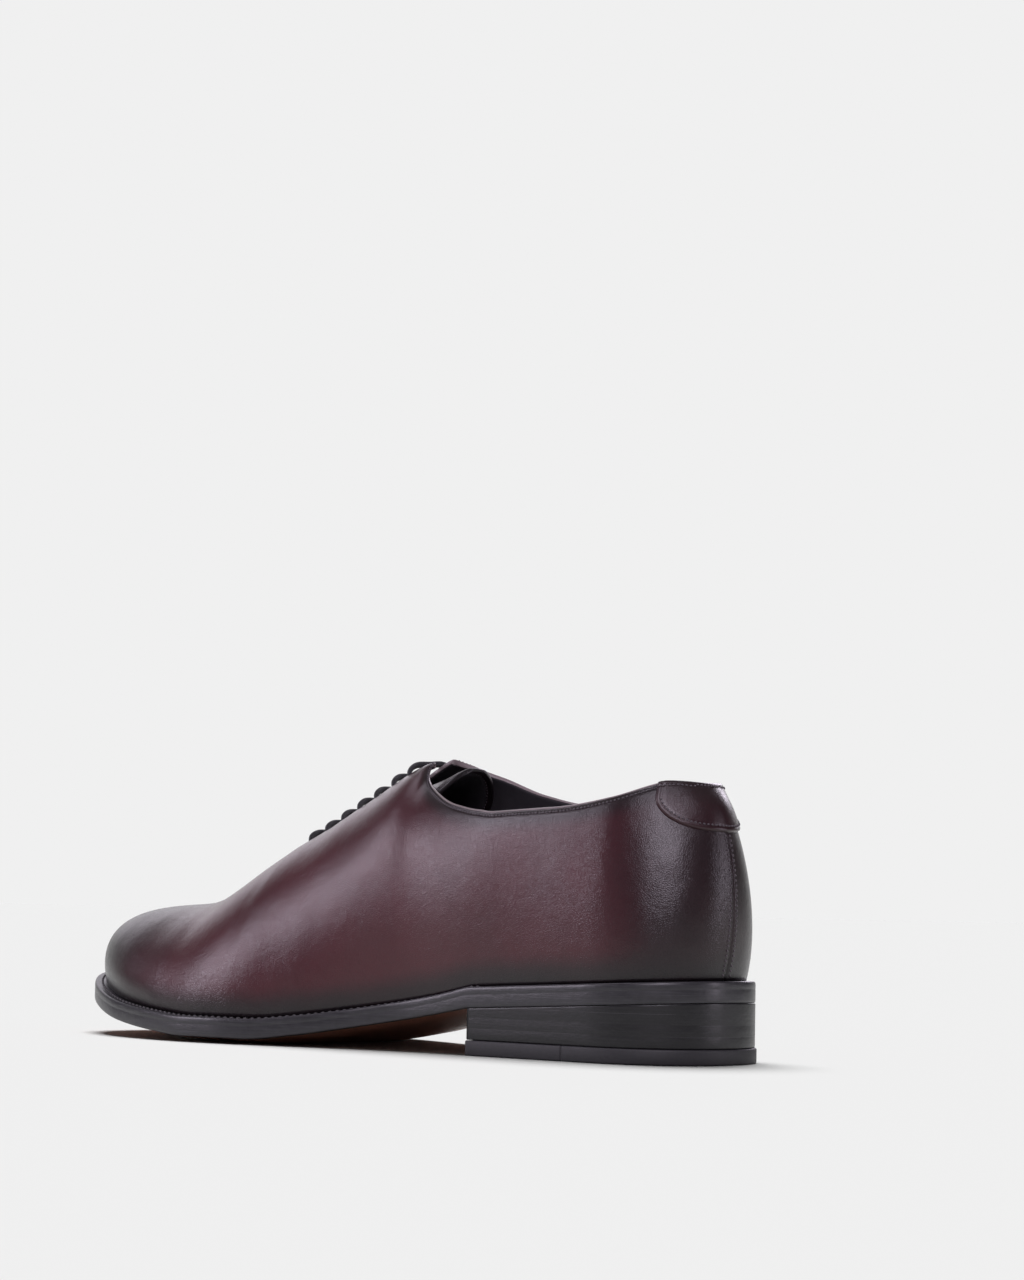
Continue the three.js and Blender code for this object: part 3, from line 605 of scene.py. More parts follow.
def waxed(name, painted_lightness=1.0, sheen=0.0, scores=()):
    """Waxed edge with streaks along its flow, its tints scaled lighter or darker as painted light; scores are
    pale broken lines, by height and strength.
    """
    n = new_material(name)
    flow = n.value("flow", "Vector")
    streaks = n.noise(n.stretch(flow, (0.035, 1.0, 2.6)), 1.0, 5.0, 0.65)
    long_streaks = n.noise(n.stretch(flow, (0.012, 1.0, 1.1)), 1.0)
    uneven = n.noise(n.stretch(flow, (0.3, 1.0, 0.5)), 1.0)
    blend = n.math("ADD", n.math("MULTIPLY", streaks, 0.7), n.math("MULTIPLY", uneven, 0.3))
    colour = n.ramp(blend, [(at, [painted_lightness * part for part in tint]) for at, tint in WAX_TINTS])
    if scores:
        up = n.add("ShaderNodeSeparateXYZ", {"Vector": flow}).outputs["Z"]
        up = n.math("ADD", up, n.spread(long_streaks, 0.3))
        broken = n.math("GREATER_THAN", long_streaks, 0.48)
        for at, strength in scores:
            line = n.fade(n.math("ABSOLUTE", n.math("SUBTRACT", up, at)), 0.14)
            colour = n.mix(n.math("MULTIPLY", n.math("MULTIPLY", line, broken), strength), colour, SCORE_TINT)
    rough = n.math("MULTIPLY_ADD", streaks, 0.22, 0.24 + sheen)
    normal = n.bump(streaks, 0.32, 0.12, n.bump(uneven, 0.22, 0.5))
    return n.finish(Base_Color=colour, Roughness=rough, Normal=normal, Specular_IOR_Level=0.36,
                    Coat_Weight=0.08, Coat_Roughness=0.25)


# The sole's inked rim and its stitched channel, by their distance from the sole's border
INK_REACH = 2.2
CHANNEL_AT = 5.5
CHANNEL_HALF_WIDTH = 0.5


def sole_leather(name):
    n = new_material(name)
    where = n.place()
    rim_gap = n.value("rim")
    base = n.mix(n.noise(where, 0.06, 4.0), (0.24, 0.105, 0.07), (0.34, 0.16, 0.11))
    base = n.mix(n.noise(n.place((2500, 300, 2500)), 1.0), base, (0.2, 0.055, 0.03))
    ink = n.math("MULTIPLY", n.fade(rim_gap, INK_REACH), 1.5, clamp=True)
    base = n.mix(ink, base, (0.012, 0.009, 0.009))
    channel = n.fade(n.math("ABSOLUTE", n.math("SUBTRACT", rim_gap, CHANNEL_AT)), CHANNEL_HALF_WIDTH)
    dashes = n.math("GREATER_THAN", n.math("SINE", n.math("MULTIPLY", n.value("walk"), 2.1)), -0.2)
    stitched = n.math("MULTIPLY", channel, dashes)
    base = n.mix(stitched, base, (0.022, 0.012, 0.01))
    normal = n.bump(n.noise(where, 1.8, 4.0), 0.25, 0.2, n.bump(stitched, -0.4, 0.3))
    return n.finish(Base_Color=base, Roughness=0.42, Normal=normal, Specular_IOR_Level=0.45)


def cord(name):
    """Braided cord: strands that wind both ways round it, with a little fuzz."""
    n = new_material(name)
    wound, running = n.math("MULTIPLY", n.value("turn"), 6.0), n.math("MULTIPLY", n.value("run"), 5.2)
    one, two = (n.math("SINE", n.math(way, wound, running)) for way in ("ADD", "SUBTRACT"))
    weave = n.math("MULTIPLY_ADD", n.math("MULTIPLY", one, two), 0.5, 0.5)
    fuzz = n.noise(n.place(), 4.0)
    colour = n.ramp(n.math("MULTIPLY_ADD", fuzz, 0.4, n.math("MULTIPLY", weave, 0.6)), [
        (0.2, (0.008, 0.008, 0.009)), (0.8, (0.034, 0.034, 0.037))])
    normal = n.bump(n.math("ADD", weave, n.math("MULTIPLY", fuzz, 0.4)), 0.8, 0.22)
    return n.finish(Base_Color=colour, Roughness=0.72, Normal=normal, Specular_IOR_Level=0.3,
                    Sheen_Weight=0.15)


def thread(name, dark, light):
    n = new_material(name)
    twist = n.noise(n.place(), 6.0, 2.0)
    return n.finish(Base_Color=n.mix(twist, dark, light), Roughness=0.5, Normal=n.bump(twist, 0.5, 0.1),
                    Specular_IOR_Level=0.4)


CALF = calf("calf")
PATCH_CALF = calf("patch_calf", grain=0.8)
LINING = dull("lining", (0.024, 0.0215, 0.025), (0.042, 0.038, 0.043),
              cloud=0.3, pores=2.4, strength=0.25, depth=0.2, rough=0.62, level=0.3)
# The sole edge's tints are lightened 2.3 times as a painted highlight standing in for the reflections along
# it, and the heel block's darkened to 0.8 as painted shade: lit and shaded copies of one black wax
EDGE_WAX = waxed("edge_wax", painted_lightness=2.3)
HEEL_WAX = waxed("heel_wax", painted_lightness=0.8, sheen=0.03, scores=((9.35, 0.35), (13.25, 0.55), (16.9, 0.4)))
RUBBER = dull("heel_rubber", (0.015, 0.0145, 0.0165), (0.024, 0.023, 0.026),
              cloud=0.5, pores=5.0, strength=0.3, depth=0.12, rough=0.55, level=0.4)
SOLE = sole_leather("sole_bottom")
CORD = cord("lace_cord")
# The stitching thread is black; the paler of its two tints is a painted highlight standing in for the sheen
# on the stitches
THREAD = thread("thread", (0.02, 0.017, 0.02), (0.11, 0.09, 0.105))
WELT_THREAD = thread("welt_thread", (0.02, 0.019, 0.02), (0.09, 0.085, 0.088))

# Kinds of stitch, in millimetres; sink lowers a thread into the leather, and below 0 raises it
FINE_STITCH = dict(pitch=1.5, length=1.0, radius=0.33, sink=-0.08, material=THREAD, slot="calf")
BACK_STITCH = {**FINE_STITCH, "pitch": 1.65, "length": 1.2, "radius": 0.28, "sink": -0.02}
TONGUE_STITCH = {**FINE_STITCH, "length": 1.1, "radius": 0.2, "sink": -0.05}
WELT_STITCH = dict(pitch=2.9, length=2.3, radius=0.42, sink=0.0, material=WELT_THREAD, slot="waxed_edge")


def stitches(name, path, normals, pitch, length, radius, sink, material, slot, rings=5, sides=6):
    """Short threads along a path, each an arc that dips into the leather at its ends."""
    steps = run_of(path)
    count = int(steps[-1] // pitch)
    reach = np.linspace(-0.5, 0.5, rings)
    bow = 1 - (2 * reach) ** 2
    rise = radius * (1.3 * bow - 0.9) - sink
    thick = radius * (0.45 + 0.55 * np.sqrt(bow))
    verts, faces = [], []
    for k in range(count):
        marks = (k + 0.5) * steps[-1] / count + length * reach
        line, up = (np.stack([np.interp(marks, steps, axis) for axis in v.T], -1) for v in (path, normals))
        up = unit(up)
        aside = np.cross(unit(np.gradient(line, axis=0)), up)
        line = line + up * rise[:, None]
        faces += tube_faces(rings, sides, len(verts) * rings * sides)
        verts.append(rings_round(line, aside, up, thick, thick, sides).reshape(-1, 3))
    return settle(make(name, np.concatenate(verts), faces, [material], outwards=True), slot)


def burnish_and_shade(points, distance, p, lengths):
    """How dark the leather is coloured: dyed at the toe, the back, the welt, the collar and along the laces,
    with painted shade added round the back.
    """
    along = along_of(points)
    rise = lengths - distance
    at = abs(wrap(p))[:, None]
    toe = smooth(222, 292, along + 0.25 * (points[..., 2] - 35))
    # Round the back the leather is burnished near the seam; further forward, up to 46 mm from the back, the
    # dark is painted shade
    back = smooth(46, 2, along)
    low = smooth(12, 1.0, rise) * 0.9
    collar = smooth(10, 1.5, distance) * smooth(0.47, 0.43, at) * 0.8
    laces = smooth(16, 3, distance) * smooth(0.42, 0.47, at) * 0.5
    body = 0.12 + 0.14 * smooth(60, 95, points[..., 2])
    light = (1 - body) * (1 - toe * 0.88) * (1 - back * 0.74) * (1 - low) * (1 - collar) * (1 - laces)
    return np.clip(1 - light, 0, 1)


# Upper, with a rounded rim, a lining and drilled eyelets
def walk_stops():
    """Places on the walk, closer together at the back seam, the throat's corner and the throat's end."""
    stops = np.concatenate([
        np.linspace(0, 1, 236), np.linspace(0, 0.014, 15), np.linspace(0.415, 0.475, 42),
        np.linspace(0.596, 0.645, 40)])
    stops = np.unique(np.round(stops, 5))
    stops = stops[np.r_[True, np.diff(stops) > 0.0005]]
    return np.concatenate([-stops[::-1], stops[1:]])


def throat_opens(p):
    """1 along the collar and the throat, and 0 from the throat's end to the toe."""
    return smooth(THROAT_END + 0.001, THROAT_END - 0.012, abs(p))[:, None]


P = walk_stops()
LENGTHS = rib_length(P)
OPEN = throat_opens(P)
RIM_END = 7.0
NEAR_OUT = [0, 0.05, 0.2, 0.45, 0.75, 1.1, 1.4, 1.7, 2.0, 2.3, 2.7, 3.2, 4.0, 5.2, RIM_END]
NEAR_IN = [0, 0.05, 0.2, 0.45, 0.75, 1.1, 2.0, 4.0, RIM_END]


def down_ribs(near, count):
    """Distances down each rib: near ones close to the rim, and then even steps to its foot."""
    far = RIM_END + (LENGTHS - RIM_END) * np.linspace(0, 1, count)[1:]
    return np.concatenate([np.broadcast_to(near, (len(P), len(near))), far], 1)


D_OUT, D_IN = down_ribs(NEAR_OUT, 54), down_ribs(NEAR_IN, 22)

# The ridge ends here, along the shoe. The face that replaces the toe's is fitted to a ring round this place;
# it fades out between the two ends of its reach
TOE_CENTRE = 270.0
TOE_REACH = (10, 6)
TOE_RING = (7.5, 14)


def rim(distance):
    r = WALL / 2
    return r - np.sqrt(np.maximum(r * r - (r - np.minimum(distance, r)) ** 2, 0))


def upper_offset(p, distance, points):
    """Height over the plain leather: the creases, the back seam's groove, and the dent along the stitches."""
    seam = p[:, None] * OUTER_WALK
    groove = -0.5 * bump(0, 0.6, seam) + 0.16 * bump(0, 2.6, seam)
    dent = -0.24 * bump(COLLAR_ROW, 0.5, distance) + 0.06 * bump(0.9, 0.7, distance)
    creases = crease_depth(p, points) * smooth(0, 3, distance)
    return creases + groove * smooth(0.5, 3, distance) + dent * throat_opens(p)


def even_toe(points):
    """Lays one smooth face over the end of the ridge, where the ribs of the toe run together."""
    x = points[..., 0] - BALL_WIDTH * ridge_shift_at(TOE_CENTRE / LENGTH) - SHIFT_X
    y = along_of(points) - TOE_CENTRE
    away = np.hypot(x, y)
    ring = (away > TOE_RING[0]) & (away < TOE_RING[1]) & (points[..., 2] > TOE_BOX_HEIGHT - 3.7)
    basis = np.stack([x**i * y**j for i in range(4) for j in range(4 - i)], -1)
    fit = np.linalg.lstsq(basis[ring], points[ring][:, 2], rcond=None)[0]
    points[..., 2] += smooth(*TOE_REACH, away) * (basis @ fit - points[..., 2])


def make_upper():
    outer, inner = upper_points(P, D_OUT), upper_points(P, D_IN)
    outer_normals, inner_normals = upper_normals(P, D_OUT), upper_normals(P, D_IN)
    offset = upper_offset(P, D_OUT, outer) - OPEN * rim(D_OUT)
    darkness = np.where(OPEN * (D_OUT < CUT_OUTSIDE) > 0.5, CUT_EDGE, burnish_and_shade(outer, D_OUT, P, LENGTHS))
    burn_in = np.where(OPEN * (D_IN < CUT_INSIDE) > 0.5, CUT_EDGE, LINED)
    outer = outer + outer_normals * offset[..., None]
    even_toe(outer)
    inner = inner + inner_normals * (-WALL + OPEN * rim(D_IN))[..., None]
    n, m, k = len(P), D_OUT.shape[1], D_IN.shape[1]
    faces = grid_faces(n, m)
    lining_faces = grid_faces(n, k, flip=True, start=n * m)
    feet_out, feet_in = np.arange(n) * m + m - 1, n * m + np.arange(n) * k + k - 1
    strip = np.stack([feet_out[:-1], feet_out[1:], feet_in[1:], feet_in[:-1]], -1)
    index = np.r_[np.zeros(len(faces)), np.ones(len(lining_faces)), np.ones(len(strip))]
    near_rim = (D_IN[:-1, :-1] < CUT_INSIDE + 0.1).ravel()
    index[len(faces):len(faces) + len(lining_faces)][near_rim] = 0
    verts = np.concatenate([outer.reshape(-1, 3), inner.reshape(-1, 3)])
    values = np.concatenate([darkness.ravel(), burn_in.ravel()])
    return make("upper_leather", verts, np.concatenate([faces, lining_faces, strip]), [CALF, LINING],
                index, {"darkness": values}, merge=0.03, outwards=True)


def eyelets():
    found = []
    for i in range(EYELET_PAIRS):
        at = EYELET_TOP_AT + (EYELET_LOW_AT - EYELET_TOP_AT) * i / (EYELET_PAIRS - 1)
        found.append([eyelet(side, at, EYELET_SETBACK) for side in (1, -1)])
    return found


def eyelet(side, at, setback):
    p, distance = np.array([side * at]), np.array([[setback]])
    return upper_points(p, distance)[0, 0], upper_normals(p, distance)[0, 0], side * at


def drill(piece, depth=9.0):
    """Cuts the eyelets, and gives the new points the darkness value, dye and painted shade, of the old ones
    near them.
    """
    work = bmesh.new()
    radius = EYELET_BORE / 2 * MM
    for pair in eyelets():
        for point, normal, _ in pair:
            turn = Vector((0, 0, 1)).rotation_difference(Vector(normal)).to_matrix().to_4x4()
            bmesh.ops.create_cone(work, cap_ends=True, segments=28, radius1=radius, radius2=radius,
                                  depth=depth * MM, matrix=Matrix.Translation(Vector(point) * MM) @ turn)
    mesh = bpy.data.meshes.new("drills")
    work.to_mesh(mesh)
    work.free()
    tool = put("drills", mesh)
    before = [tuple(v.co) for v in piece.data.vertices]
    old_darkness = np.zeros(len(before))
    piece.data.attributes["darkness"].data.foreach_get("value", old_darkness)
    cut = piece.modifiers.new("cut", "BOOLEAN")
    cut.operation, cut.solver, cut.object = "DIFFERENCE", "MANIFOLD", tool
    bpy.context.view_layer.update()
    made = bpy.data.meshes.new_from_object(piece.evaluated_get(bpy.context.evaluated_depsgraph_get()))
    piece.modifiers.clear()
    tree = KDTree(len(before))
    for i, co in enumerate(before):
        tree.insert(co, i)
    tree.balance()
    values = []
    for vert in made.vertices:
        near = tree.find_n(vert.co, 3)
        weights = [1 / (d + 1e-6) for _, _, d in near]
        values.append(sum(w * old_darkness[i] for w, (_, i, _) in zip(weights, near)) / sum(weights))
    if "darkness" in made.attributes:
        made.attributes.remove(made.attributes["darkness"])
    layer = made.attributes.new("darkness", "FLOAT", "POINT")
    layer.data.foreach_set("value", values)
    piece.data = made
    bpy.data.objects.remove(tool)


upper = make_upper()
drill(upper)
settle(upper, "calf", "upper")


def row_on_upper(p, distance):
    """A row of points on the finished leather, and its way outwards there."""
    distance = np.broadcast_to(np.asarray(distance, float).reshape(-1, 1), (len(p), 1))
    points, normals = upper_points(p, distance), upper_normals(p, distance)
    off = upper_offset(p, distance, points)
    return (points + normals * off[..., None])[:, 0], normals[:, 0]


SIDES = ((1, "outer"), (-1, "inner"))

# The collar's stitches run from the tab to the throat's end, and the seam's start below the tab
COLLAR_SPAN = (0.09, 0.628)
SEAM_TOP = 15
for side, name in SIDES:
    line = side * np.linspace(*COLLAR_SPAN, 700)
    stitches(f"collar_stitches_{name}", *row_on_upper(line, COLLAR_ROW), **FINE_STITCH)

# Back seam, with a row of stitches on each side of the groove
for side, name in SIDES:
    deep = np.linspace(SEAM_TOP, rib_length(np.array([0.0]))[0, 0] - 1.0, 160)
    line = np.full(len(deep), side * BACK_ROW / OUTER_WALK)
    stitches(f"back_stitches_{name}", *row_on_upper(line, deep), **BACK_STITCH)


# Tab at the back of the collar, its outline an ellipse of PATCH_REACH and PATCH_DROP
TAB_DARKNESS = 0.72
TAB_BEVEL = 0.8


def make_patch():
    edge_height = welt_top(PATCH_REACH / LENGTH) + PATCH_EDGE_SHARE * BACK_HEIGHT

    def outside(points):
        drop = np.maximum(edge_height - points[..., 2], 0)
        return (along_of(points) / PATCH_REACH) ** 2 + (drop / PATCH_DROP) ** 2 - 1

    trial = np.linspace(0, 0.2, 2001)
    spans = []
    for side in (1, -1):
        heads = upper_points(side * trial, np.zeros((len(trial), 1)))
        spans.append(trial[np.argmax(outside(heads[:, 0]) > 0) - 1])
    turn = np.sin(np.linspace(0, np.pi / 2, 70))
    p = np.concatenate([-turn[::-1] * spans[1], turn[1:] * spans[0]])
    deep = np.broadcast_to(np.linspace(0, 26, 400), (len(p), 400))
    out = outside(upper_points(p, deep)) > 0
    low = np.array([deep[i][np.argmax(out[i])] if out[i].any() else 0.0 for i in range(len(p))])
    share = np.concatenate([[0, 0.012, 0.03, 0.06, 0.096], np.linspace(0.13, 1, 56)])
    distance = low[:, None] * share
    points, normals = upper_points(p, distance), upper_normals(p, distance)
    darkness = burnish_and_shade(points, distance, p, rib_length(p)) * TAB_DARKNESS
    gaps = gap_to(np.concatenate([points[0], points[:, -1], points[-1][::-1]]), points)
    cap = 0.95 * PATCH_THICKNESS
    thick = 0.02 + cap * np.sqrt(1 - (1 - np.clip(gaps / TAB_BEVEL, 0, 1)) ** 2)
    thick += 0.04 * bump(0.9, 0.5, gaps) - 0.1 * bump(TAB_ROW, 0.5, gaps)
    thick -= 0.1 * bump(COLLAR_ROW, 0.5, distance)
    near_top = 1 - np.clip(distance / cap, 0, 1)
    fold = (cap + WALL / 2) * (1 - np.sqrt(1 - near_top**2))
    points = points + normals * (thick - fold)[..., None]
    points[..., 2] += 0.25 * near_top
    piece = make("heel_tab", points, grid_faces(*points.shape[:2]), [PATCH_CALF],
                 attributes={"darkness": darkness})
    settle(piece, "calf", "heel_patch")
    inner = [(i, np.argmin(abs(gaps[i] - TAB_ROW) + 100 * (distance[i] < 2.2))) for i in range(len(p))]
    inner = [q for q in inner if abs(gaps[q] - TAB_ROW) < 0.5]
    top = [(i, np.argmin(abs(distance[i] - COLLAR_ROW))) for i in range(len(p)) if low[i] > 3.5]
    for name, places in (("tab_stitches", inner), ("tab_collar_stitches", top)):
        stitches(name, *picked(places, points, normals), **FINE_STITCH)


make_patch()


# Tongue, with a rolled edge and its own lining
def make_tongue():
    rows = RIBS["high"] == INSTEP
    corner = int(np.argmax(rows))
    spots = RIBS["along"][corner:]
    ridge = {"at": spots, "height": welt_top(spots) + GAP + RIBS["high"][corner:]}
    height = column(ridge, "height")
    corner_at = RIBS["along"][corner]
    slope = (height(np.array(corner_at)) - height(np.array(corner_at + 0.02))) / 0.02
    top, low = TONGUE["at"][0], TONGUE["at"][-1]
    at = top + (low - top) * (1 - np.cos(np.pi * np.linspace(0, 1, 90) / 2)) ** 1.15
    w = np.sin(np.linspace(-np.pi / 2, np.pi / 2, 57))
    rise = 0.55 * slope * np.maximum(corner_at - at, 0)
    crown = height(at) + rise - TONGUE_DEPTH - column(TONGUE, "sink")(at)
    taper = round_end(at - top + 0.0004, 0.07, 2.2)
    half = BALL_WIDTH * column(TONGUE, "half")(at)
    x = BALL_WIDTH * ridge_shift_at(at)[:, None] + w[None] * (taper * half)[:, None]
    fall = (INSTEP * column(TONGUE, "droop")(at))[:, None] * (w[None] * taper[:, None]) ** 2
    face = place(at[:, None] * LENGTH, x, crown[:, None] - fall)
    normals = unit(np.cross(np.gradient(face, axis=1), np.gradient(face, axis=0)))
    normals *= np.sign(normals[..., 2:3] + 1e-9)
    gaps = gap_to(np.concatenate([face[:, 0], face[:, -1], face[0]]), face)
    r = TONGUE_THICKNESS / 2
    lobe = r * np.sqrt(1 - (1 - np.clip(gaps / r, 0, 1)) ** 2)
    channel = 0.28 * bump(TONGUE_ROW, 0.4, gaps) - 0.12 * bump(TONGUE_ROW + 0.9, 0.5, gaps)
    upper_face = face + normals * (-r + lobe - channel)[..., None]
    lower_face = face + normals * (-r - lobe + channel)[..., None]
    n, m = face.shape[:2]
    faces = np.concatenate([grid_faces(n, m), grid_faces(n, m, flip=True, start=n * m)])
    index = np.r_[np.zeros((n - 1) * (m - 1)), np.where(gaps[:-1, :-1].ravel() > TONGUE_ROW, 1, 0)]
    darkness = np.clip(0.62 + 0.3 * bump(0, 2.5, gaps), 0, 1).ravel()
    verts = np.concatenate([upper_face.reshape(-1, 3), lower_face.reshape(-1, 3)])
    piece = make("tongue_leather", verts, faces, [CALF, LINING], index, {"darkness": np.r_[darkness, darkness]},
                 merge=0.01, outwards=True)
    settle(piece, "calf", "tongue")
    places = tongue_border(gaps, TONGUE_ROW)
    for surface, facing, name in ((upper_face, normals, "front"), (lower_face, -normals, "lining")):
        stitches(f"tongue_stitches_{name}", *picked(places, surface, facing), **TONGUE_STITCH)


def tongue_border(gaps, goal):
    """Grid places along a line a set distance inside the tongue's border, from one side over the top."""
    n, m = gaps.shape
    left = [(i, int(np.argmin(abs(gaps[i, :m // 2] - goal)))) for i in range(n - 1, 0, -1)]
    right = [(i, m // 2 + int(np.argmin(abs(gaps[i, m // 2:] - goal)))) for i in range(1, n)]
    over = [(int(np.argmin(abs(gaps[:n // 2, j] - goal))), j) for j in range(m)]
    near = [q for q in left if abs(gaps[q] - goal) < 0.35]
    past = [q for q in right if abs(gaps[q] - goal) < 0.35]
    first, last = (near[-1][1], past[0][1]) if near and past else (0, m)
    return near + [q for q in over if first < q[1] < last] + past


make_tongue()


# Laces: a bar over each pair of eyelets, linked on alternate sides under the facings
def between(s, a, b, start, stop):
    return (stop - s) / (stop - start) * a + (s - start) / (stop - start) * b


def catmull(points, count):
    """A centripetal Catmull-Rom curve through points, as the CAD's laces have it."""
    points = np.array(points, float)
    knots = np.r_[0, np.cumsum(np.sqrt(np.linalg.norm(np.diff(points, axis=0), axis=1)))]
    ends = np.concatenate([[2 * points[0] - points[1]], points, [2 * points[-1] - points[-2]]])
    t = np.r_[knots[0] - (knots[1] - knots[0]), knots, knots[-1] + knots[-1] - knots[-2]]
    line = []
    for s in np.linspace(knots[0], knots[-1], count):
        i = int(np.clip(np.searchsorted(t, s, side="right") - 1, 1, len(t) - 3))
        a, b, c, d = ends[i - 1:i + 3]
        ta, tb, tc, td = t[i - 1:i + 3]
        ab, bc, cd = between(s, a, b, ta, tb), between(s, b, c, tb, tc), between(s, c, d, tc, td)
        line.append(between(s, between(s, ab, bc, ta, tc), between(s, bc, cd, tb, td), tb, tc))
    return np.array(line)


def tube(line, width, height, sides=18):
    """A flat tube along a line: its points, its faces, and the turn and run of each point on it."""
    ahead = unit(np.gradient(line, axis=0))
    up = np.zeros_like(line)
    up[0] = np.cross(ahead[0], np.cross([0, 0, 1.0], ahead[0]) + 1e-6)
    for i in range(len(line)):
        base = up[i - 1] if i else up[0]
        up[i] = unit(base - ahead[i] * (base @ ahead[i]))
    ring = rings_round(line, np.cross(ahead, up), up, width / 2, height / 2, sides)
    turns = np.broadcast_to(np.linspace(0, 2 * np.pi, sides, endpoint=False), ring.shape[:2])
    runs = np.broadcast_to(run_of(line)[:, None], ring.shape[:2])
    return ring.reshape(-1, 3), tube_faces(len(line), sides), turns.ravel(), runs.ravel()


# A bar climbs over the leather by these places: setback from the throat's edge, and height over the face
BAR_CLIMB = ((8.0, 0.5), (6.4, 1.25), (2.6, 1.75))
BAR_SIZE = (2.5, 1.75)
LINK_SIZE = (LACE_DIAMETER, 2.4)


def make_laces():
    pairs = eyelets()

    def under(point, normal):
        return point - normal * (WALL + LACE_DIAMETER / 2 + 2 * GAP)

    parts = []
    for pair in pairs:
        climbs = []
        for point, normal, p in pair:
            climb = [under(point, normal), point - normal]
            for setback, lift in BAR_CLIMB:
                spot_at, spot_normal, _ = eyelet(np.sign(p), abs(p), setback)
                climb.append(spot_at + spot_normal * lift)
            climbs.append(climb)
        crest = (climbs[0][-1] + climbs[1][-1]) / 2 + np.array([0, 0, 0.1])
        parts.append(tube(catmull(climbs[0] + [crest] + climbs[1][::-1], 130), *BAR_SIZE))
    for i in range(1, len(pairs)):
        side = (i - 1) % 2
        ends = [under(*pairs[k][side][:2]) for k in (i - 1, i)]
        parts.append(tube(np.linspace(*ends, 12), *LINK_SIZE))
    starts = np.r_[0, np.cumsum([len(part[0]) for part in parts])]
    faces = [tuple(start + k for k in face) for start, part in zip(starts, parts) for face in part[1]]
    verts, turns, runs = (np.concatenate([part[k] for part in parts]) for k in (0, 2, 3))
    piece = make("lace_bars", verts, faces, [CORD], attributes={"turn": turns, "run": runs}, outwards=True)
    settle(piece, "waxed_cord", "laces")


make_laces()


# Insole under the foot
def make_insole(hollow=0.9):
    share = lengthwise(0, 14, 70, 14)
    share[0], share[-1] = 0.002, 0.998
    w = np.linspace(-1, 1, 31)
    along, across = across_sole(share, welt_shows_at(share) + WALL + 4 * GAP, w)
    high = welt_top(along / LENGTH) + GAP + WALL + 2 * GAP + INSOLE_THICKNESS - hollow * (1 - w[None] ** 4)
    points = place(along, across, high)
    piece = make("sock", points, grid_faces(*points.shape[:2]), [LINING], outwards=True)
    settle(piece, "lining_leather", "insole")


make_insole()


# Edge of welt and outsole in one waxed band, from the welt's upper face round to the underside. By the face
# that it follows, its profile's insets from the sole's edge and heights over that face
EDGE_PROFILE = {
    "welt": [(WELT_WIDTH, 0.0), (6.0, 0.0), (2.2, 0.0), (1.5, 0.03), (1.0, 0.14), (0.6, 0.12), (0.28, -0.06),
             (0.1, -0.4), (0.02, -1.0), (0.0, -1.8)],
    "joint": [(0.02, 0.35), (0.06, 0.1), (0.01, -0.2)],
    "under": [(0.0, 2.2), (0.0, 1.1), (0.04, 0.4), (0.2, 0.1), (0.6, 0.0), (3.0, 0.05), (12.0, 0.4)]}


def flow_round(walk, points):
    """Which way the wax's streaks run on a band: round it, and up."""
    height = points[..., 2]
    return np.stack([np.broadcast_to(walk[:, None], height.shape), 0 * height, height], -1)


def make_edge():
    p = np.linspace(-1, 1, 521)[:-1]
    along, across = edge_line(p)
    walk = run_of(np.stack([along, across], 1))
    at = np.clip(along / LENGTH, 0, 1)
    levels = {"welt": welt_top(at), "joint": outsole_top(at) + GAP / 2, "under": underside(at) + crown_at(at)}
    rows = []
    for face, profile in EDGE_PROFILE.items():
        for inset, lift in profile:
            a, c, _, _ = edge(p, inset)
            rows.append(place(a, c, levels[face] + lift))
    points = np.stack(rows, 1)
    piece = make("sole_edge", points, grid_faces(*points.shape[:2], closed=True), [EDGE_WAX],
                 attributes={"flow": flow_round(walk, points)}, outwards=True)
    settle(piece, "waxed_edge", "welt", "heel_rand")
    line = np.linspace(-0.985, 0.985, 1500)
    line = line[abs(line) > 0.3]
    for side, name in SIDES:
        q = line[line * side > 0]
        a, c, _, _ = edge(q, WELT_ROW)
        path = place(a, c, welt_top(np.clip(edge_line(q)[0] / LENGTH, 0, 1)))
        up = np.broadcast_to(np.array([0, 0, 1.0]), path.shape)
        stitches(f"welt_stitches_{name}", path, up, **WELT_STITCH)


make_edge()


# Underside of the outsole
SOLE_WALK = 340


def make_sole():
    share = lengthwise(0.001, 20, 120, 26)
    w = np.sin(np.linspace(-np.pi / 2, np.pi / 2, 41))
    along, across = across_sole(share, 0.8, w)
    lift = np.clip((abs(w) - 0.5) / 0.5, 0, 1)[None] ** 1.6
    points = place(along, across, underside(along / LENGTH) + crown_at(along / LENGTH) * lift)
    rim_gap = gap_to(np.concatenate([points[:, 0], points[:, -1]]), points)
    walk = np.broadcast_to((share * SOLE_WALK)[:, None], points.shape[:2])
    piece = make("outsole_leather", points, grid_faces(*points.shape[:2]), [SOLE],
                 attributes={"rim": rim_gap, "walk": walk})
    if piece.data.polygons[2000].normal.z > 0:
        piece.data.flip_normals()
    settle(piece, "sole_leather", "outsole")


make_sole()


# Heel: one block of lifts, and the tread in two pieces
def outline(start, stop, inset):
    """A closed line round the heel between two distances from its back, walked from the outer side."""
    shares = [(share_at(s, start) if start else 0.0, share_at(s, stop)) for s in (1, -1)]
    outer = np.linspace(shares[0][1], shares[0][0], 90)
    inner = -np.linspace(shares[1][0], shares[1][1], 90)
    if not start:
        inner = inner[1:]
    rows = []
    for q in (outer, inner):
        a, c, _, _ = edge(q, inset)
        rows.append(np.stack([np.clip(a, start + inset if start else -9, stop - inset), c], 1))
    front, back = (np.linspace(a[-1], b[0], 22)[1:-1] for a, b in (rows[::-1], rows))
    return np.concatenate([rows[0], back, rows[1], front] if start else [rows[0], rows[1], front])


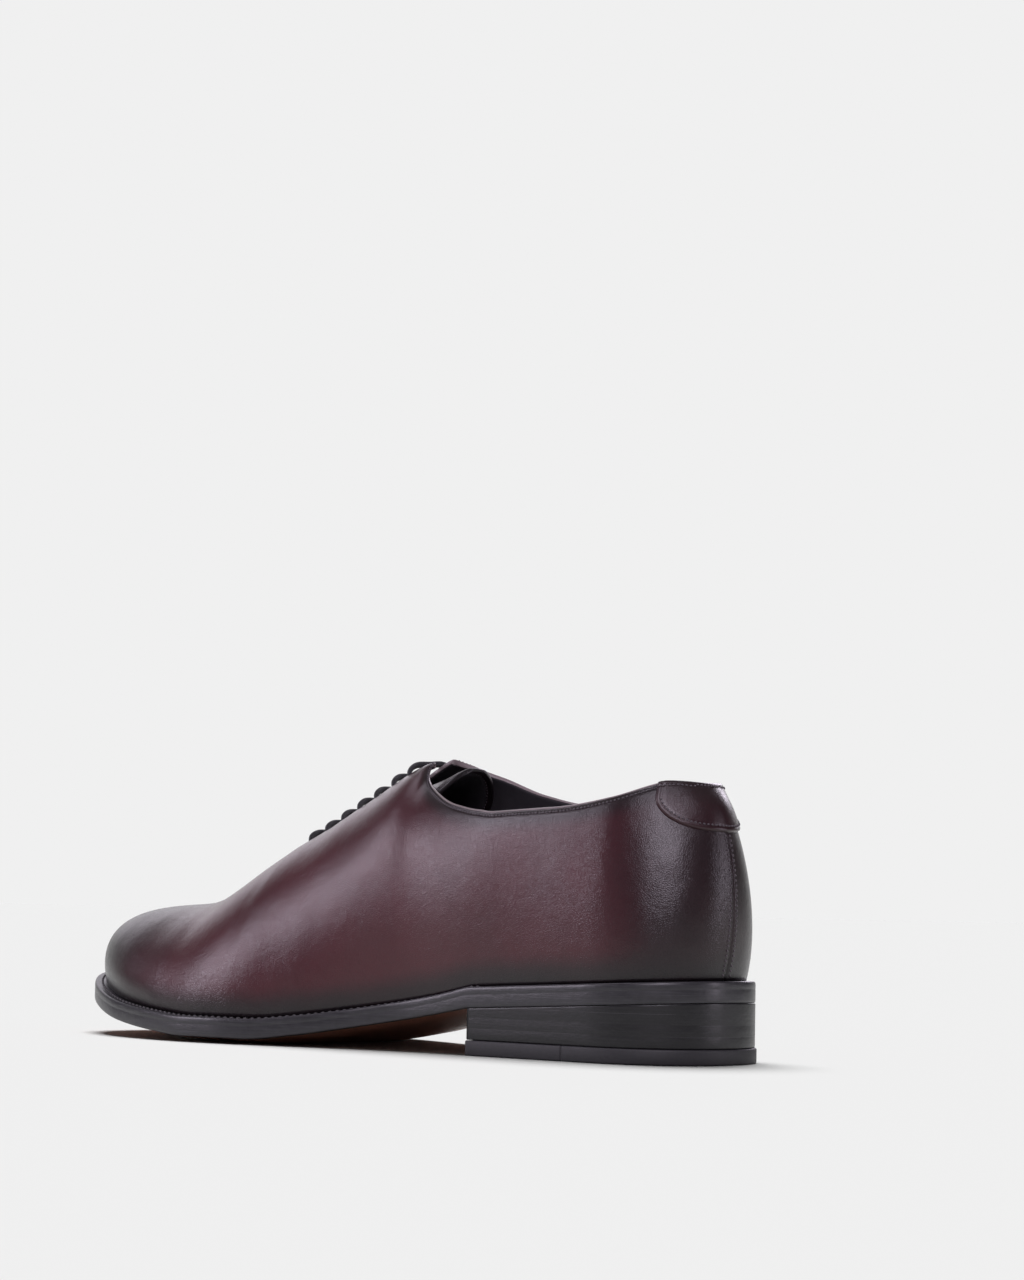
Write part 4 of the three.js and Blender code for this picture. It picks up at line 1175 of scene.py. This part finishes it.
def prism(name, start, stop, levels, top, material, slot, *nodes):
    """A block from levels (inset, height, whether the height is taken down from the top)."""
    loops = []
    for inset, height, hangs in levels:
        line = outline(start, stop, inset)
        base = top(line[:, 0]) if hangs else 0
        loops.append(place(line[:, 0], line[:, 1], base + height))
    points = np.stack(loops, 1)
    n, m = points.shape[:2]
    flow = flow_round(run_of(points[:, 0]), points)
    faces = [tuple(f) for f in grid_faces(n, m, closed=True)]
    faces += [tuple(i * m for i in range(n)), tuple(i * m + m - 1 for i in range(n))]
    piece = make(name, points, faces, [material], attributes={"flow": flow}, outwards=True)
    return settle(piece, slot, *nodes)


first = TOP_PIECE_THICKNESS + GAP / 2
joints = [first + LIFT_THICKNESS + GAP, first + 2 * (LIFT_THICKNESS + GAP)]
levels = [(0.5, first, False), (0.1, first + 0.05, False), (0.0, first + 0.4, False)]
for at in joints:
    levels += [(0.0, at - 0.3, False), (0.025, at, False), (0.0, at + 0.3, False)]
levels += [(0.0, -0.7, True), (0.01, -0.3, True), (0.08, -0.1, True), (1.0, -0.05, True)]
prism("heel_block", 0, HEEL_LENGTH, levels, lambda a: underside(a / LENGTH), HEEL_WAX, "waxed_edge",
      "heel_wedge", "heel_lift_1", "heel_lift_2")

# The tread's rounded lower and upper rim: inset and height
TREAD = [(1.2, 0.0), (0.45, 0.02), (0.15, 0.18), (0.0, 0.6)] + [
    (inset, TOP_PIECE_THICKNESS - down) for inset, down in ((0.0, 0.6), (0.12, 0.2), (0.5, 0.02), (1.5, 0.0))]
proud = [(inset - TOP_PIECE_PROUD, height, False) for inset, height in TREAD]
prism("heel_tread_rubber", 0, RUBBER_TIP_LENGTH, proud, None, RUBBER, "heel_rubber", "heel_rubber_tip")
prism("heel_tread_leather", RUBBER_TIP_LENGTH + GAP, HEEL_LENGTH, proud, None, RUBBER, "waxed_edge",
      "heel_top_piece")


# Floor
FLOOR_HALF = 60
corners = [(x * FLOOR_HALF, y * FLOOR_HALF, 0) for x, y in ((-1, -1), (1, -1), (1, 1), (-1, 1))]
floor_mesh = bpy.data.meshes.new("floor")
floor_mesh.from_pydata(corners, [], [(0, 1, 2, 3)])
ground = new_material("floor")
floor_mesh.materials.append(
    ground.finish(Base_Color=(0.8, 0.8, 0.8), Roughness=1.0, Specular_IOR_Level=0.0))
floor = put("floor", floor_mesh)
floor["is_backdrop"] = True

# Pale studio surroundings: the camera sees plain WHITE, shiny leather mirrors a glow behind the shoe and
# above it, and the matt surfaces get only a dim even fill
WHITE = 0.871
BEHIND = (-0.72, -0.69, 0.1)
FILL = 0.09
world = bpy.data.worlds.new("studio")
bpy.context.scene.world = world
sky = Nodes(world)
sky.tree.nodes.clear()


def eased(value, start, stop, low, high):
    """A level that eases from low to high while the value goes from start to stop."""
    inputs = {"Value": value, "From Min": start, "From Max": stop, "To Min": low, "To Max": high}
    return sky.add("ShaderNodeMapRange", inputs, interpolation_type="SMOOTHSTEP").outputs["Result"]


way = sky.add("ShaderNodeTexCoord").outputs["Generated"]
behind = sky.add("ShaderNodeVectorMath", {0: way, 1: BEHIND}, operation="DOT_PRODUCT").outputs["Value"]
above = sky.add("ShaderNodeSeparateXYZ", {0: way}).outputs["Z"]
level = sky.math("MAXIMUM", eased(behind, 0.6, 0.95, 0.05, 0.9), eased(above, 0.5, 0.9, 0.0, 0.35))
lit = sky.add("ShaderNodeBackground", {"Strength": level}).outputs[0]
dim = sky.add("ShaderNodeBackground", {"Strength": FILL}).outputs[0]
seen = sky.add("ShaderNodeBackground", {"Color": (WHITE, WHITE, WHITE)}).outputs[0]
ray = sky.add("ShaderNodeLightPath").outputs
soft = sky.add("ShaderNodeMixShader", {0: ray["Is Diffuse Ray"], 1: lit, 2: dim}).outputs[0]
blend = sky.add("ShaderNodeMixShader", {0: ray["Is Camera Ray"], 1: soft, 2: seen}).outputs[0]
sky.add("ShaderNodeOutputWorld", {"Surface": blend})

# Lights; the softboxes light only the shoe, and the floor has a soft sun of its own
shoe_only = bpy.data.collections.new("shoe_only")
floor_only = bpy.data.collections.new("floor_only")
for group in (shoe_only, floor_only):
    bpy.context.scene.collection.children.link(group)
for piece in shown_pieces():
    shoe_only.objects.link(piece)
floor_only.objects.link(floor)
SOFTBOX_TINT = (1.0, 0.91, 1.06)


def shine(name, data, towards, receivers):
    """Adds a light that shines towards a direction, on one collection only."""
    lamp = put(name, data)
    lamp.rotation_euler = towards.to_track_quat("-Z", "Y").to_euler()
    lamp.light_linking.receiver_collection = receivers
    return lamp


def softbox(name, azimuth, height, distance, width, tall, radiance, aim):
    """A rectangular light on the shoe; azimuth 0 is its outer side, and grows towards the heel."""
    data = bpy.data.lights.new(name, "AREA")
    data.shape, data.size, data.size_y = "RECTANGLE", width, tall
    data.energy = radiance * math.pi * width * tall
    data.color = SOFTBOX_TINT
    a = math.radians(azimuth)
    spot = Vector((distance * math.cos(a), distance * math.sin(a), height))
    shine(name, data, Vector((0, 0, aim)) - spot, shoe_only).location = spot


softbox("key", -47.5, 0.52, 1.3, 0.25, 0.66, 14.5, 0.1)
softbox("heel_side", 38, 0.88, 1.4, 0.85, 0.6, 8.5, 0.05)
softbox("back", 118, 0.3, 1.2, 0.2, 0.55, 6.0, 0.05)
softbox("tab_side", 62, 1.15, 1.0, 0.7, 0.28, 4.5, 0.08)
softbox("overhead", -75, 1.3, 0.5, 0.7, 0.6, 2.2, 0.05)
softbox("toe_side", -126, 0.56, 1.3, 1.2, 0.42, 0.9, 0.05)
softbox("far_side", 195, 0.8, 1.4, 0.6, 0.7, 4.6, 0.05)

# The sun leans a little, so that the shadow falls towards the heel and the outer side
SUN_WAY = Vector((0.2, 0.26, -1))
sun = bpy.data.lights.new("floor_light", "SUN")
sun.energy, sun.angle = 3.33, math.radians(36)
shine("floor_light", sun, SUN_WAY, floor_only)

# The photograph's camera, from the heel's outer side, close to the floor, fitted in millimetres and pixels.
# A point of the floor AIM_ALONG from the heel's back shows at AIM_PIXEL from the picture's left.
ANGLE, PITCH, ROLL = math.radians(42), math.radians(4.751), math.radians(1.121)
DISTANCE, FOCAL, EYE_HEIGHT = 1114.92, 3248.45, 50.31
AIM_ALONG, AIM_PIXEL = 35.0, 657.09
PICTURE_WIDTH, PICTURE_HEIGHT, SENSOR = 1024, 1280, 36
ahead = Vector((-math.cos(ANGLE), -math.sin(ANGLE), 0))
right = Vector((-math.sin(ANGLE), math.cos(ANGLE), 0))
upright = Vector((0, 0, 1))
look = ahead * math.cos(PITCH) + upright * math.sin(PITCH)
top_way = upright * math.cos(PITCH) - ahead * math.sin(PITCH)
right_way = right * math.cos(ROLL) + top_way * math.sin(ROLL)
top_way = top_way * math.cos(ROLL) - right * math.sin(ROLL)
aside = (AIM_PIXEL - PICTURE_WIDTH / 2) / FOCAL * DISTANCE
eye = Vector(place(AIM_ALONG, 0, 0)) - ahead * DISTANCE - right * aside
eye.z = EYE_HEIGHT
camera_data = bpy.data.cameras.new("camera")
camera_data.lens, camera_data.sensor_width = FOCAL * SENSOR / PICTURE_HEIGHT, SENSOR
camera_data.clip_start, camera_data.clip_end = 0.05, 50
camera = put("camera", camera_data)
axes = Matrix((right_way, top_way, -look)).transposed()
camera.matrix_world = Matrix.Translation(eye * MM) @ axes.to_4x4()
bpy.context.scene.camera = camera
bpy.context.scene.view_settings.view_transform = "Standard"
bpy.context.scene.view_settings.look = "None"
